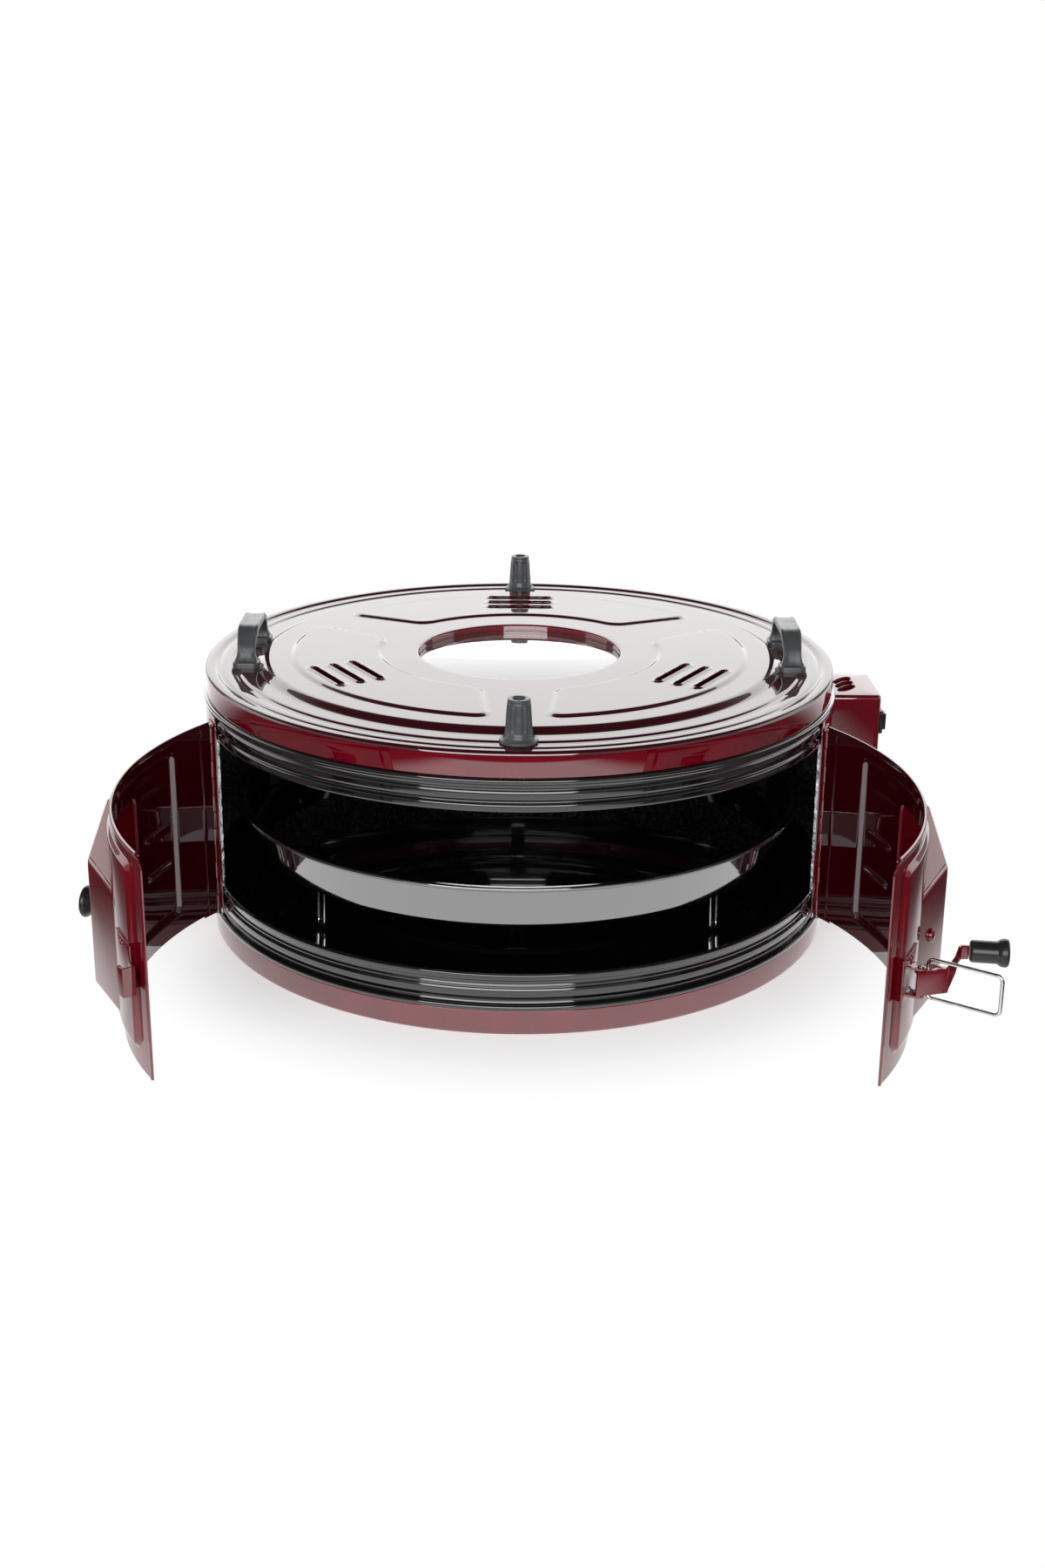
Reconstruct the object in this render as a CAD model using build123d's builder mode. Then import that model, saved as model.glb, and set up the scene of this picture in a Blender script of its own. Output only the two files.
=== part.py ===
from build123d import *
import os
from math import cos, degrees, hypot, radians, sin

# Round countertop oven: a low sheet steel drum with a lift-off lid and two curved front doors.
# Millimetres. The origin is the centre of the base, on the surface that it stands on.
# +Z is up, -Y is the front, where the doors open, and +X is the side with the control box.
# Angles called forward angles are measured from the right side towards the front.
# Door pieces are drawn closed round the drum, then turned open about their hinge pins.

# Sheet metal and fits
sheet = 0.8
seat_gap = 0.1
running_fit = 0.05
face_gap = 0.02
body_gap = 0.35
third_angles = (90, 210, 330)

# Drum: the two overall sizes, then how beads, band and rims divide it
bead_radius = 200.0
drum_height = 153.6
bead_height = 3.4
bead_proud = 1.0
band_height = 15.3
floor_height = 12.0
floor_corner = 3.0
rib_inset = 2.3
rib_depth = 1.5
rim_inset = 5.2
lower_rim_height = 18.4
upper_rim_height = 16.6
guide_height = 4.5
guide_half_angle = 3.0
wall_seat = 1.5
liner_sheet = 0.6
trim_angle_width = 1.2

# Upper heating element and its hangers
element_circle = 120.0
element_width = 5.6
element_lift = 7.9
hanger_width = 10.0
hanger_sheet = 1.2
hanger_inner_reach = 8.0
hanger_rise = 8.0
hanger_lip = 5.0

# Doors
hinge_angle = 22.5
hinge_proud = 3.0
door_open_angle = 56.2
door_clearance = 0.3
door_low_gap = 6.2
door_high_gap = 2.7
door_edge_gap = 0.5
field_rise = 2.6
field_start = 33.0
field_end = 86.0
field_low_border = 10.5
field_high_border = 8.0
field_corner = 6.0
pocket_start = 46.0
pocket_end = 73.0
pocket_border = 7.0
pocket_bridge = 7.0
low_pocket_height = 34.0
stiffener_span = (34.5, 43.0)
stiffener_lifts = (34.5, 57.5)
stiffener_width = 2.0
stiffener_depth = 0.9

# Piano hinges
pin_radius = 1.1
knuckle_radius = 2.3
knuckle_count = 11
knuckle_gap = 0.15
knuckle_sides = 8
hinge_low_gap = 4.2
hinge_high_gap = 6.2
leaf_sheet = 0.9
leaf_start = 2.8
leaf_width = 11.0
tab_inset = 0.6
pin_head = 1.2

# Housing on each door
housing_start = 44.5
housing_corner_proud = 16.6
housing_corner_angle = 63.5
housing_end = 75.5
housing_low_border = 3.5
housing_high_border = 1.5
housing_flat_inset = 2.0
housing_break_depth = 4.0
housing_break_height = 10.0
housing_slope_run = 20.0
housing_slope_height = 25.0
housing_wall = 1.0

# Knob and screw
knob_share = 0.69
knob_neck = 11.0
knob_flare = 18.0
knob_length = 13.0
knob_flare_length = 5.0
knob_edge = 2.0
screw_share = 0.44
screw_drop = 21.0
screw_head = 3.9
washer_thickness = 1.2
screw_dome = 0.9

# Over-centre latch and its catch
latch_drop = 8.25
latch_side_gap = 3.0
latch_pivot_side = 21.5
latch_pivot_proud = 6.8
latch_pin_radius = 1.0
latch_pin_head = 0.8
lever_direction = 40.0
lever_flange_height = 13.2
lever_sheet = 1.2
bail_pivot_reach = (6.06, 3.5)
bail_wire = 2.0
bail_length = 39.2
bail_side_gap = 4.1
bail_corner = 3.0
grip_place = (27.6, 1.9)
grip_turn = -24.0
grip_lift = 13.0
grip_radius = 5.8
grip_cap_radius = 7.4
grip_length = 20.0
grip_flare_length = 4.0
grip_edge = 2.0
ear_gap = 1.6
ear_half = 4.6
latch_plate_half = 12.0
plate_thickness = 1.08
plate_edge_gap = 0.1
catch_root = 2.0
catch_width = 6.0
catch_reach = 6.9
catch_bail_gap = 1.7
catch_plate_rise = 17.0

# Tray and the stand under it
tray_side_gap = 14.3
tray_rim_width = 6.0
tray_top = 85.5
tray_depth = 27.5
tray_wall_run = 3.5
tray_forward = 8.0
tray_roll = 2.0
stand_bar = 3.0
stand_inset = 21.0
stand_wire = 3.0
stand_leg_width = 12.0
stand_leg_bend = 4.0

# Lid
lid_inset = 1.8
lid_skirt_height = 14.25
lid_rim_rise = 0.7
lid_rim_width = 7.2
lid_panel_rise = 3.0
lid_step_inset = 33.2
lid_step_run = 4.0
sector_rise = 1.3
sector_inset = 17.5
sector_window_gap = 25.0
sector_half_outer = 53.0
sector_half_inner = 45.3
sector_land = 0.05
slot_length = 44.0
slot_width = 6.0
slot_pitch = 13.0
slot_inset = 9.5
slot_inner_inset = 16.0
window_radius = 64.0
window_flange_depth = 7.8
gasket_width = 4.0
gasket_height = 1.5
glass_thickness = 4.0
handle_step_gap = 4.9
handle_length = 74.0
handle_rise = 22.7
handle_width = 12.6
handle_thickness = 4.0
handle_foot = (12.6, 14.0, 4.0)
handle_lean = 4.0
handle_bend = 6.0
peg_step_gap = 12.5
peg_height = 25.0
peg_flange = 21.7
peg_flange_height = 2.4
peg_base = 16.7
peg_tip = 12.8
peg_hole = 6.4
peg_hole_depth = 9.0

# Control box
control_proud = 33.0
control_front = -8.0
control_rear = 44.0
control_bottom = 44.0
control_top_gap = 8.6
control_sheet = 1.2
control_corner = 4.0
control_edge = 3.0
louvre_size = (15.0, 3.0)
louvre_turn = 35.0
louvre_pitch = 9.0
louvre_inset = 20.0
switch_drop = 19.0
switch_middle = 6.0
bezel_size = (22.0, 15.0, 2.0)
switch_hole = (18.4, 11.4)
rocker_size = (17.0, 10.6)
rocker_tilt = 8.0
gland_inset = (16.0, 14.0)
gland_radius = 6.0
gland_bore = 3.2
gland_lip = 4.0
gland_neck = 4.5

# Radii worked out from the sizes above
wall_radius = bead_radius - bead_proud
rib_radius = bead_radius - rib_inset
rib_root = rib_radius - rib_depth
rim_inner = bead_radius - rim_inset
floor_radius = rim_inner - floor_corner - 1.3
liner_radius = wall_radius - 2 * sheet
liner_end_angle = hinge_angle - 2.1
hinge_circle = wall_radius + hinge_proud
door_inner_radius = wall_radius + door_clearance
door_outer_radius = door_inner_radius + sheet
field_radius = door_outer_radius + field_rise
lid_radius = bead_radius - lid_inset
lid_step_outer = lid_radius - lid_step_inset
lid_step_inner = lid_step_outer - lid_step_run
tray_radius = rim_inner - tray_side_gap
control_outer = wall_radius + control_proud

# Heights worked out from the sizes above
bead_low = band_height + seat_gap
bead_high = bead_low + bead_height
lower_rim_top = bead_high + lower_rim_height
upper_bead_bottom = drum_height - bead_height
upper_rim_bottom = upper_bead_bottom - upper_rim_height
door_bottom = bead_high + door_low_gap
door_top = upper_bead_bottom - door_high_gap
field_bottom = door_bottom + field_low_border
field_top = door_top - field_high_border
housing_bottom = field_bottom + housing_low_border
housing_top = field_top - housing_high_border
housing_flat_top = housing_top - housing_slope_height - housing_break_height
latch_middle = (door_bottom + door_top) / 2 - latch_drop
grip_height = latch_middle + grip_lift
lid_skirt_bottom = drum_height + body_gap
lid_ledge = lid_skirt_bottom + lid_skirt_height
lid_rim_top = lid_ledge + lid_rim_rise
lid_panel_top = lid_ledge + lid_panel_rise
control_top = drum_height - control_top_gap
switch_height = control_top - switch_drop


def on_circle(radius, forward):
    """Plan point at a radius and a forward angle."""
    return (radius * cos(radians(forward)), -radius * sin(radians(forward)))


def turn(points, start=0.0, arc=360.0, mode=Mode.ADD):
    """Turns an outline of radius and height about the drum's axis, in the part being made."""
    with BuildSketch(Plane.XZ.rotated((0, 0, start))) as outline:
        with BuildLine():
            Polyline(*points, close=True)
        make_face()
    revolve(outline.sketch, axis=Axis.Z, revolution_arc=arc, mode=mode)


def curved_plate(inner, outer, first, last, low, high, mode=Mode.ADD):
    """Curved plate between two forward angles, in the part being made."""
    section = ((inner, low), (outer, low), (outer, high), (inner, high))
    turn(section, -last, last - first, mode)


pieces = []


def keep(name, part):
    """Names a finished piece and keeps it for the export."""
    part.label = name
    pieces.append(part)


# Base pan: the red pressed dish under the drum, whose band is seen below the bottom bead
with BuildPart() as base_pan:
    turn(
        (
            (0, 0),
            (wall_radius, 0),
            (wall_radius, band_height),
            (wall_radius - sheet, band_height),
            (wall_radius - sheet, sheet),
            (0, sheet),
        )
    )
keep("base_pan", base_pan.part)

# Floor pan: the enamelled floor, the bead that rests on the band, and the ribbed lower rim
rib_step = (lower_rim_top - bead_high) / 5
with BuildPart() as floor_pan:
    turn(
        (
            (0, floor_height),
            (floor_radius, floor_height),
            (floor_radius + floor_corner, bead_low),
            (bead_radius, bead_low),
            (bead_radius, bead_high),
            (rib_root, bead_high + 0.7 * rib_step),
            (rib_radius, bead_high + 1.8 * rib_step),
            (rib_root, bead_high + 3 * rib_step),
            (rib_radius, bead_high + 4.1 * rib_step),
            (rib_radius, lower_rim_top),
            (rim_inner, lower_rim_top),
            (rim_inner, bead_low + 2 * sheet),
            (floor_radius - sheet, floor_height + sheet),
            (0, floor_height + sheet),
        )
    )
keep("floor_pan", floor_pan.part)

# Top ring: the mirror of the lower rim, with four short guides that centre the lid
rib_step = (upper_bead_bottom - upper_rim_bottom) / 5
with BuildPart() as top_ring:
    turn(
        (
            (rim_inner, upper_rim_bottom),
            (rib_radius, upper_rim_bottom),
            (rib_radius, upper_rim_bottom + 0.8 * rib_step),
            (rib_root, upper_rim_bottom + 1.7 * rib_step),
            (rib_radius, upper_rim_bottom + 3 * rib_step),
            (rib_root, upper_rim_bottom + 4.1 * rib_step),
            (bead_radius, upper_bead_bottom),
            (bead_radius, drum_height),
            (rim_inner, drum_height),
        )
    )
    for guide in (45, 135, 225, 315):
        curved_plate(
            rim_inner,
            rib_root,
            guide - guide_half_angle,
            guide + guide_half_angle,
            drum_height,
            drum_height + guide_height,
        )
keep("top_ring", top_ring.part)

# Rear wall: the red outer sheet between the beads, from hinge to hinge round the back
with BuildPart() as rear_wall:
    curved_plate(
        wall_radius - sheet,
        wall_radius,
        -180 - hinge_angle,
        hinge_angle,
        bead_high + wall_seat,
        upper_bead_bottom - wall_seat,
    )
keep("rear_wall", rear_wall.part)

# Rear liner: the dark stucco sheet inside the rear wall, between the two rims
with BuildPart() as rear_liner:
    curved_plate(
        liner_radius - liner_sheet,
        liner_radius,
        -180 - liner_end_angle,
        liner_end_angle,
        lower_rim_top + seat_gap,
        upper_rim_bottom - seat_gap,
    )
keep("rear_liner", rear_liner.part)

# Edge trims: bare folded strips that close the two front edges of the wall
trim_angle = liner_end_angle + 0.05
with BuildPart() as edge_trims:
    for first in (trim_angle, 180 - trim_angle - trim_angle_width):
        curved_plate(
            liner_radius - liner_sheet - 1.0,
            wall_radius - sheet - seat_gap,
            first,
            first + trim_angle_width,
            lower_rim_top + seat_gap,
            upper_rim_bottom - seat_gap,
        )
keep("edge_trims", edge_trims.part)

# Upper heating element: a ring under the lid, with its three hangers on the top ring
element_height = upper_rim_bottom + element_lift
half = element_width / 2
with BuildPart() as upper_element:
    turn(
        (
            (element_circle - half, element_height - half),
            (element_circle + half, element_height - half),
            (element_circle + half, element_height + half),
            (element_circle - half, element_height + half),
        )
    )
keep("upper_heating_element", upper_element.part)

hanger_top = element_height - half - seat_gap
hook = element_circle - hanger_inner_reach
hanger_end = rim_inner - seat_gap
with BuildPart() as element_hangers:
    for angle in third_angles:
        with BuildSketch(Plane.XZ.rotated((0, 0, angle))):
            with BuildLine():
                Polyline(
                    (hook, hanger_top - hanger_sheet),
                    (hanger_end, hanger_top - hanger_sheet),
                    (hanger_end, hanger_top + hanger_rise),
                    (hanger_end - hanger_sheet, hanger_top + hanger_rise),
                    (hanger_end - hanger_sheet, hanger_top),
                    (hook + hanger_sheet, hanger_top),
                    (hook + hanger_sheet, hanger_top + hanger_lip),
                    (hook, hanger_top + hanger_lip),
                    close=True,
                )
            make_face()
        extrude(amount=hanger_width / 2, both=True)
keep("element_hangers", element_hangers.part)

# Piano hinges: eleven knuckles a side, in turn on the wall's leaf and on the door's leaf
hinge_point = on_circle(hinge_circle, hinge_angle)
right_hinge = Axis((hinge_point[0], hinge_point[1], 0), (0, 0, 1))
hinge_bottom = bead_high + hinge_low_gap
hinge_height = upper_bead_bottom - hinge_high_gap - hinge_bottom
knuckle_length = hinge_height / knuckle_count
hinge_plan = Plane(
    origin=(hinge_point[0], hinge_point[1], 0),
    x_dir=(-sin(radians(hinge_angle)), -cos(radians(hinge_angle)), 0),
    z_dir=(0, 0, 1),
)


def hinge_leaf(owned, inner, side):
    """Leaf with its knuckles: side is 1 for the door's leaf and -1 for the wall's."""
    foot = inner + seat_gap
    near = degrees(leaf_start / foot)
    far = degrees((leaf_start + leaf_width) / foot)
    edges = sorted((hinge_angle + side * near, hinge_angle + side * far))
    with BuildPart() as leaf:
        curved_plate(
            foot, foot + leaf_sheet, edges[0], edges[1], hinge_bottom, hinge_bottom + hinge_height
        )
        for index in owned:
            low = hinge_bottom + index * knuckle_length + knuckle_gap
            with BuildSketch(hinge_plan.offset(low)):
                RegularPolygon(knuckle_radius, knuckle_sides, major_radius=False)
                with Locations((side * (leaf_start - tab_inset), foot + leaf_sheet - hinge_circle)):
                    Rectangle(2 * leaf_sheet, 2 * leaf_sheet)
                RegularPolygon(
                    pin_radius + running_fit, knuckle_sides, major_radius=False, mode=Mode.SUBTRACT
                )
            extrude(amount=knuckle_length - 2 * knuckle_gap)
    return leaf.part


wall_leaf = hinge_leaf(range(0, knuckle_count, 2), wall_radius, -1)
keep("right_wall_hinge_leaf", wall_leaf)
keep("left_wall_hinge_leaf", wall_leaf.mirror(Plane.YZ))

with BuildPart() as hinge_pin:
    with BuildSketch(hinge_plan.offset(hinge_bottom - pin_head / 2)):
        Circle(pin_radius)
    extrude(amount=hinge_height + pin_head)
    with BuildSketch(hinge_plan.offset(hinge_bottom - 1.5 * pin_head)):
        RegularPolygon(knuckle_radius, knuckle_sides, major_radius=False)
    extrude(amount=pin_head)
keep("right_hinge_pin", hinge_pin.part)
keep("left_hinge_pin", hinge_pin.part.mirror(Plane.YZ))


def opened(part):
    """A piece of the right door, turned from its closed place to its open place."""
    return part.rotate(right_hinge, door_open_angle)


def keep_pair(name, part):
    """Keeps a piece that both doors have, opened on the right and mirrored on the left."""
    right = opened(part)
    keep("right_" + name, right)
    keep("left_" + name, right.mirror(Plane.YZ))


# Door leaves: the hinge leaves on the outside of the doors
door_leaf = hinge_leaf(range(1, knuckle_count, 2), door_outer_radius, 1)
keep_pair("door_hinge_leaf", door_leaf)

# Door panels: curved sheets with a raised field and two pockets into the housing
door_first = hinge_angle + degrees(leaf_start / wall_radius)
door_last = 90.0 - degrees(door_edge_gap / wall_radius)


def field_block(shrink, inner, outer, rise):
    """Raised field with rounded corners and sloped borders, smaller by shrink all round."""
    lost = degrees(shrink / wall_radius)
    with BuildPart() as block:
        curved_plate(
            inner,
            outer,
            field_start + lost,
            field_end - lost,
            field_bottom + shrink,
            field_top - shrink,
        )
        spokes = block.edges().filter_by(GeomType.LINE).filter_by(Axis.Z, reverse=True)
        fillet(spokes, field_corner - shrink)
        skin = block.faces().filter_by(GeomType.CYLINDER).sort_by(SortBy.AREA)[-1]
        chamfer(skin.edges(), rise)
    return block.part


def under_slope(inset):
    """Adds the housing's outline from the side, inset from its front, slope and top."""
    front = inset + housing_flat_inset - wall_radius
    slope_foot = front + housing_break_depth
    with BuildLine() as outline:
        Polyline(
            (0, housing_bottom),
            (front, housing_bottom),
            (front, housing_flat_top),
            (slope_foot, housing_flat_top + housing_break_height - inset),
            (slope_foot + housing_slope_run, housing_top - inset),
            (0, housing_top - inset),
            close=True,
        )
    make_face(outline.edges())


raised_field = field_block(0, door_inner_radius, field_radius, field_rise)
field_hollow = field_block(sheet, door_inner_radius - 4, field_radius - sheet, field_rise)
low_pocket = housing_bottom + pocket_border
low_pocket_top = low_pocket + low_pocket_height
high_pocket = low_pocket_top + pocket_bridge
with BuildPart() as pocket_cuts:
    for low, high in ((low_pocket, low_pocket_top), (high_pocket, housing_top - pocket_border)):
        curved_plate(
            door_inner_radius - field_rise, field_radius + field_rise, pocket_start, pocket_end, low, high
        )
    with BuildSketch(Plane.YZ):
        under_slope(housing_break_depth)
    extrude(amount=bead_radius, mode=Mode.INTERSECT)
with BuildPart() as door_panel:
    curved_plate(
        door_inner_radius, door_outer_radius, door_first, door_last, door_bottom, door_top
    )
    add(raised_field)
    add(field_hollow, mode=Mode.SUBTRACT)
    add(pocket_cuts.part, mode=Mode.SUBTRACT)
    for lift in stiffener_lifts:
        curved_plate(
            field_radius - sheet - stiffener_depth,
            field_radius - sheet,
            *stiffener_span,
            field_bottom + lift - stiffener_width / 2,
            field_bottom + lift + stiffener_width / 2,
        )
keep_pair("door_panel", door_panel.part)

# Door housings: hollow pressed boxes over the pockets, flat in front and sloped on top
housing_back = on_circle(field_radius, housing_start)
housing_corner = on_circle(wall_radius + housing_corner_proud, housing_corner_angle)
housing_side = on_circle(field_radius, housing_end)


def housing_block(wall):
    """Housing as a closed block, thinner by wall on its outer sides."""
    with BuildPart() as block:
        with BuildSketch(Plane.XY.offset(housing_bottom + wall)):
            with BuildLine():
                Polyline(
                    housing_back,
                    housing_corner,
                    housing_side,
                    on_circle(wall_radius / 2, housing_end),
                    on_circle(wall_radius / 2, housing_start),
                    close=True,
                )
            make_face()
            if wall:
                offset(amount=-wall, kind=Kind.INTERSECTION, mode=Mode.REPLACE)
        extrude(amount=housing_top - housing_bottom - 2 * wall)
        with BuildSketch(Plane.YZ):
            under_slope(wall)
        extrude(amount=bead_radius, mode=Mode.INTERSECT)
    return block.part


housing_shell = housing_block(0)
housing_hollow = housing_block(housing_wall)
with BuildPart() as door_housing:
    add(housing_shell)
    add(housing_hollow, mode=Mode.SUBTRACT)
    with BuildSketch(Plane.XY):
        Circle(field_radius + face_gap)
    extrude(amount=housing_top, mode=Mode.SUBTRACT)
keep_pair("door_housing", door_housing.part)

# Housing screw: a cross-head screw in the flat front of the right door's housing
front_run = (housing_corner[0] - housing_side[0], housing_corner[1] - housing_side[1])
front_length = hypot(*front_run)
screw_way = (front_run[1] / front_length, -front_run[0] / front_length)
screw_place = Plane(
    origin=(
        housing_side[0] + screw_share * front_run[0] + face_gap * screw_way[0],
        housing_side[1] + screw_share * front_run[1] + face_gap * screw_way[1],
        housing_flat_top - screw_drop,
    ),
    z_dir=(screw_way[0], screw_way[1], 0),
)
with BuildPart() as housing_screw:
    with BuildSketch(screw_place):
        Circle(screw_head)
    extrude(amount=washer_thickness)
    with BuildSketch(screw_place.offset(washer_thickness)):
        Circle(screw_head - screw_dome / 2)
    extrude(amount=screw_dome, taper=35)
keep("housing_screw", opened(housing_screw.part))

# Door knob: a flared knob on the left door's housing, towards the hinge
wall_run = (housing_corner[0] - housing_back[0], housing_corner[1] - housing_back[1])
wall_length = hypot(*wall_run)
knob_way = (-wall_run[1] / wall_length, wall_run[0] / wall_length)
knob_plane = Plane(
    origin=(
        housing_back[0] + knob_share * wall_run[0] + seat_gap * knob_way[0],
        housing_back[1] + knob_share * wall_run[1] + seat_gap * knob_way[1],
        latch_middle,
    ),
    z_dir=(knob_way[0], knob_way[1], 0),
)
with BuildPart() as door_knob:
    with BuildSketch(knob_plane):
        Circle(knob_neck / 2)
    extrude(amount=knob_length - knob_flare_length - knob_edge)
    with BuildSketch(knob_plane.offset(knob_length - knob_flare_length - knob_edge)):
        Circle(knob_neck / 2)
    with BuildSketch(knob_plane.offset(knob_length - knob_edge)):
        Circle(knob_flare / 2)
    loft()
    with BuildSketch(knob_plane.offset(knob_length - knob_edge)):
        Circle(knob_flare / 2)
    extrude(amount=knob_edge)
keep("left_door_knob", opened(door_knob.part).mirror(Plane.YZ))

# Latch base: a bracket with two ears on the free edge of the right door
latch_pivot = (latch_pivot_side, -field_radius - latch_pivot_proud)
lever_low = latch_middle - lever_flange_height / 2
lever_high = latch_middle + lever_flange_height / 2
ear_low = lever_low - ear_gap
ear_high = lever_high + ear_gap - lever_sheet
ear_foot = field_radius + face_gap
ear_tip = latch_pivot[1] - 2.6
latch_start = housing_end + latch_side_gap
latch_end = field_end - plate_edge_gap
with BuildPart() as latch_base:
    curved_plate(
        field_radius + face_gap,
        field_radius + plate_thickness,
        latch_start,
        latch_end,
        latch_middle - latch_plate_half,
        latch_middle + latch_plate_half,
    )
    for low in (ear_low, ear_high):
        with BuildSketch(Plane.XY.offset(low)):
            with BuildLine():
                Polyline(
                    (latch_pivot_side - ear_half, -ear_foot - 0.1),
                    (latch_pivot_side + ear_half, 1.0 - ear_foot),
                    (latch_pivot_side + ear_half - 1.5, latch_pivot[1] - 0.8),
                    (latch_pivot_side + ear_half - 3.1, ear_tip),
                    (latch_pivot_side - ear_half + 3.1, ear_tip),
                    (latch_pivot_side - ear_half + 1.5, latch_pivot[1] - 0.8),
                    close=True,
                )
            make_face()
            with Locations(latch_pivot):
                Circle(latch_pin_radius + running_fit, mode=Mode.SUBTRACT)
        extrude(amount=lever_sheet)
keep("latch_base", opened(latch_base.part))

with BuildPart() as latch_pin:
    with BuildSketch(Plane.XY.offset(ear_low - seat_gap)):
        with Locations(latch_pivot):
            Circle(latch_pin_radius)
    extrude(amount=ear_high + lever_sheet + 3 * seat_gap - ear_low)
    with BuildSketch(Plane.XY.offset(ear_high + lever_sheet + seat_gap)):
        with Locations(latch_pivot):
            Circle(latch_pin_radius + latch_pin_head)
    extrude(amount=latch_pin_head)
keep("latch_pin", opened(latch_pin.part))

# Latch lever: a pressed channel whose web runs on into a joggled arm
lever_plan = Plane(
    origin=(latch_pivot[0], latch_pivot[1], 0),
    x_dir=(cos(radians(lever_direction)), -sin(radians(lever_direction)), 0),
    z_dir=(0, 0, 1),
)
grip_lean = radians(grip_turn)
arm_bend = (grip_place[0] - 4 * cos(grip_lean), grip_place[1] - 4 * sin(grip_lean))
with BuildPart() as lever_arm:
    with BuildSketch(lever_plan.offset(lever_low)):
        with BuildLine():
            Polyline((-3.2, -2.5), (14.0, -2.5), (18.5, -1.4), arm_bend, grip_place)
        trace(line_width=lever_sheet)
    extrude(amount=grip_height + 3 - lever_low)
    with BuildSketch(Plane(origin=lever_plan.origin, x_dir=lever_plan.x_dir, z_dir=lever_plan.y_dir)):
        with BuildLine():
            Polyline(
                (-5, -lever_low),
                (14, -lever_low),
                (21, -grip_height + 5),
                (40, -grip_height + 3),
                (40, -grip_height - 3),
                (22, -grip_height - 3),
                (13, -lever_high),
                (-5, -lever_high),
                close=True,
            )
        make_face()
    extrude(amount=40, both=True, mode=Mode.INTERSECT)
with BuildPart() as latch_lever:
    add(lever_arm.part)
    for low in (lever_low, lever_high - lever_sheet):
        with BuildSketch(lever_plan.offset(low)):
            with BuildLine():
                Polyline(
                    (-3.2, -3.1),
                    (14.5, -3.1),
                    (16.0, -1.0),
                    (9.0, 4.6),
                    (6.8, 6.0),
                    (4.2, 5.4),
                    (-1.6, 2.6),
                    (-3.2, 0.8),
                    close=True,
                )
            make_face()
            Circle(latch_pin_radius + running_fit, mode=Mode.SUBTRACT)
            with Locations(bail_pivot_reach):
                Circle(bail_wire / 2 + running_fit, mode=Mode.SUBTRACT)
        extrude(amount=lever_sheet)
keep("latch_lever", opened(latch_lever.part))

# Lever grip: a black cap with a flared end on the lever's arm
grip_start = lever_plan.from_local_coords((grip_place[0], grip_place[1], grip_height))
grip_heading = radians(lever_direction - grip_turn)
grip_plane = Plane(
    origin=(
        grip_start.X + seat_gap * cos(grip_heading),
        grip_start.Y - seat_gap * sin(grip_heading),
        grip_height,
    ),
    z_dir=(cos(grip_heading), -sin(grip_heading), 0),
)
with BuildPart() as lever_grip:
    with BuildSketch(grip_plane):
        Circle(grip_radius)
    extrude(amount=grip_length - grip_flare_length - grip_edge)
    with BuildSketch(grip_plane.offset(grip_length - grip_flare_length - grip_edge)):
        Circle(grip_radius)
    with BuildSketch(grip_plane.offset(grip_length - grip_edge)):
        Circle(grip_cap_radius)
    loft()
    with BuildSketch(grip_plane.offset(grip_length - grip_edge)):
        Circle(grip_cap_radius)
    extrude(amount=grip_edge)
keep("lever_grip", opened(lever_grip.part))

# Bail: a wire loop whose two ends turn in through the lever's flanges
bail_half = lever_flange_height / 2 + bail_side_gap
bail_end = lever_flange_height / 2 - 2 * lever_sheet
bail_root = lever_plan.from_local_coords((bail_pivot_reach[0], bail_pivot_reach[1], latch_middle))
bail_plane = Plane(origin=(bail_root.X, bail_root.Y, latch_middle), x_dir=(0, -1, 0), z_dir=(1, 0, 0))
with BuildPart() as bail:
    with BuildLine(bail_plane) as bail_path:
        FilletPolyline(
            (0, bail_end),
            (0, bail_half),
            (bail_length, bail_half),
            (bail_length, -bail_half),
            (0, -bail_half),
            (0, -bail_end),
            radius=bail_corner,
        )
    with BuildSketch(Plane(origin=bail_path.line @ 0, z_dir=bail_path.line % 0)):
        RegularPolygon(bail_wire / 2, 6)
    sweep(path=bail_path.line)
keep("bail", opened(bail.part))

# Catch: a plate with a hook on the free edge of the left door
catch_high = bail_half - bail_wire / 2 - catch_bail_gap
catch_low = latch_middle - catch_high
catch_inner = field_radius * cos(radians(latch_end)) + catch_root
catch_back = catch_inner - 1.1
catch_side = catch_back - catch_width
catch_tip = field_radius + catch_reach
with BuildPart() as catch:
    curved_plate(
        field_radius + face_gap,
        field_radius + plate_thickness,
        latch_start,
        latch_end,
        catch_low,
        latch_middle + catch_plate_rise,
    )
    with BuildSketch(Plane.XY.offset(catch_low)):
        with BuildLine():
            Polyline(
                (catch_inner, 0.4 - field_radius),
                (catch_side, 0.1 - field_radius),
                (catch_side, -catch_tip),
                (catch_back, -catch_tip - 0.3),
                (catch_back, 0.9 - catch_tip),
                (catch_side + lever_sheet, lever_sheet - catch_tip),
                (catch_side + lever_sheet, -field_radius - plate_thickness),
                (catch_inner, 0.5 - field_radius - plate_thickness),
                close=True,
            )
        make_face()
    extrude(amount=2 * catch_high)
keep("door_catch", opened(catch.part).mirror(Plane.YZ))

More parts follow.
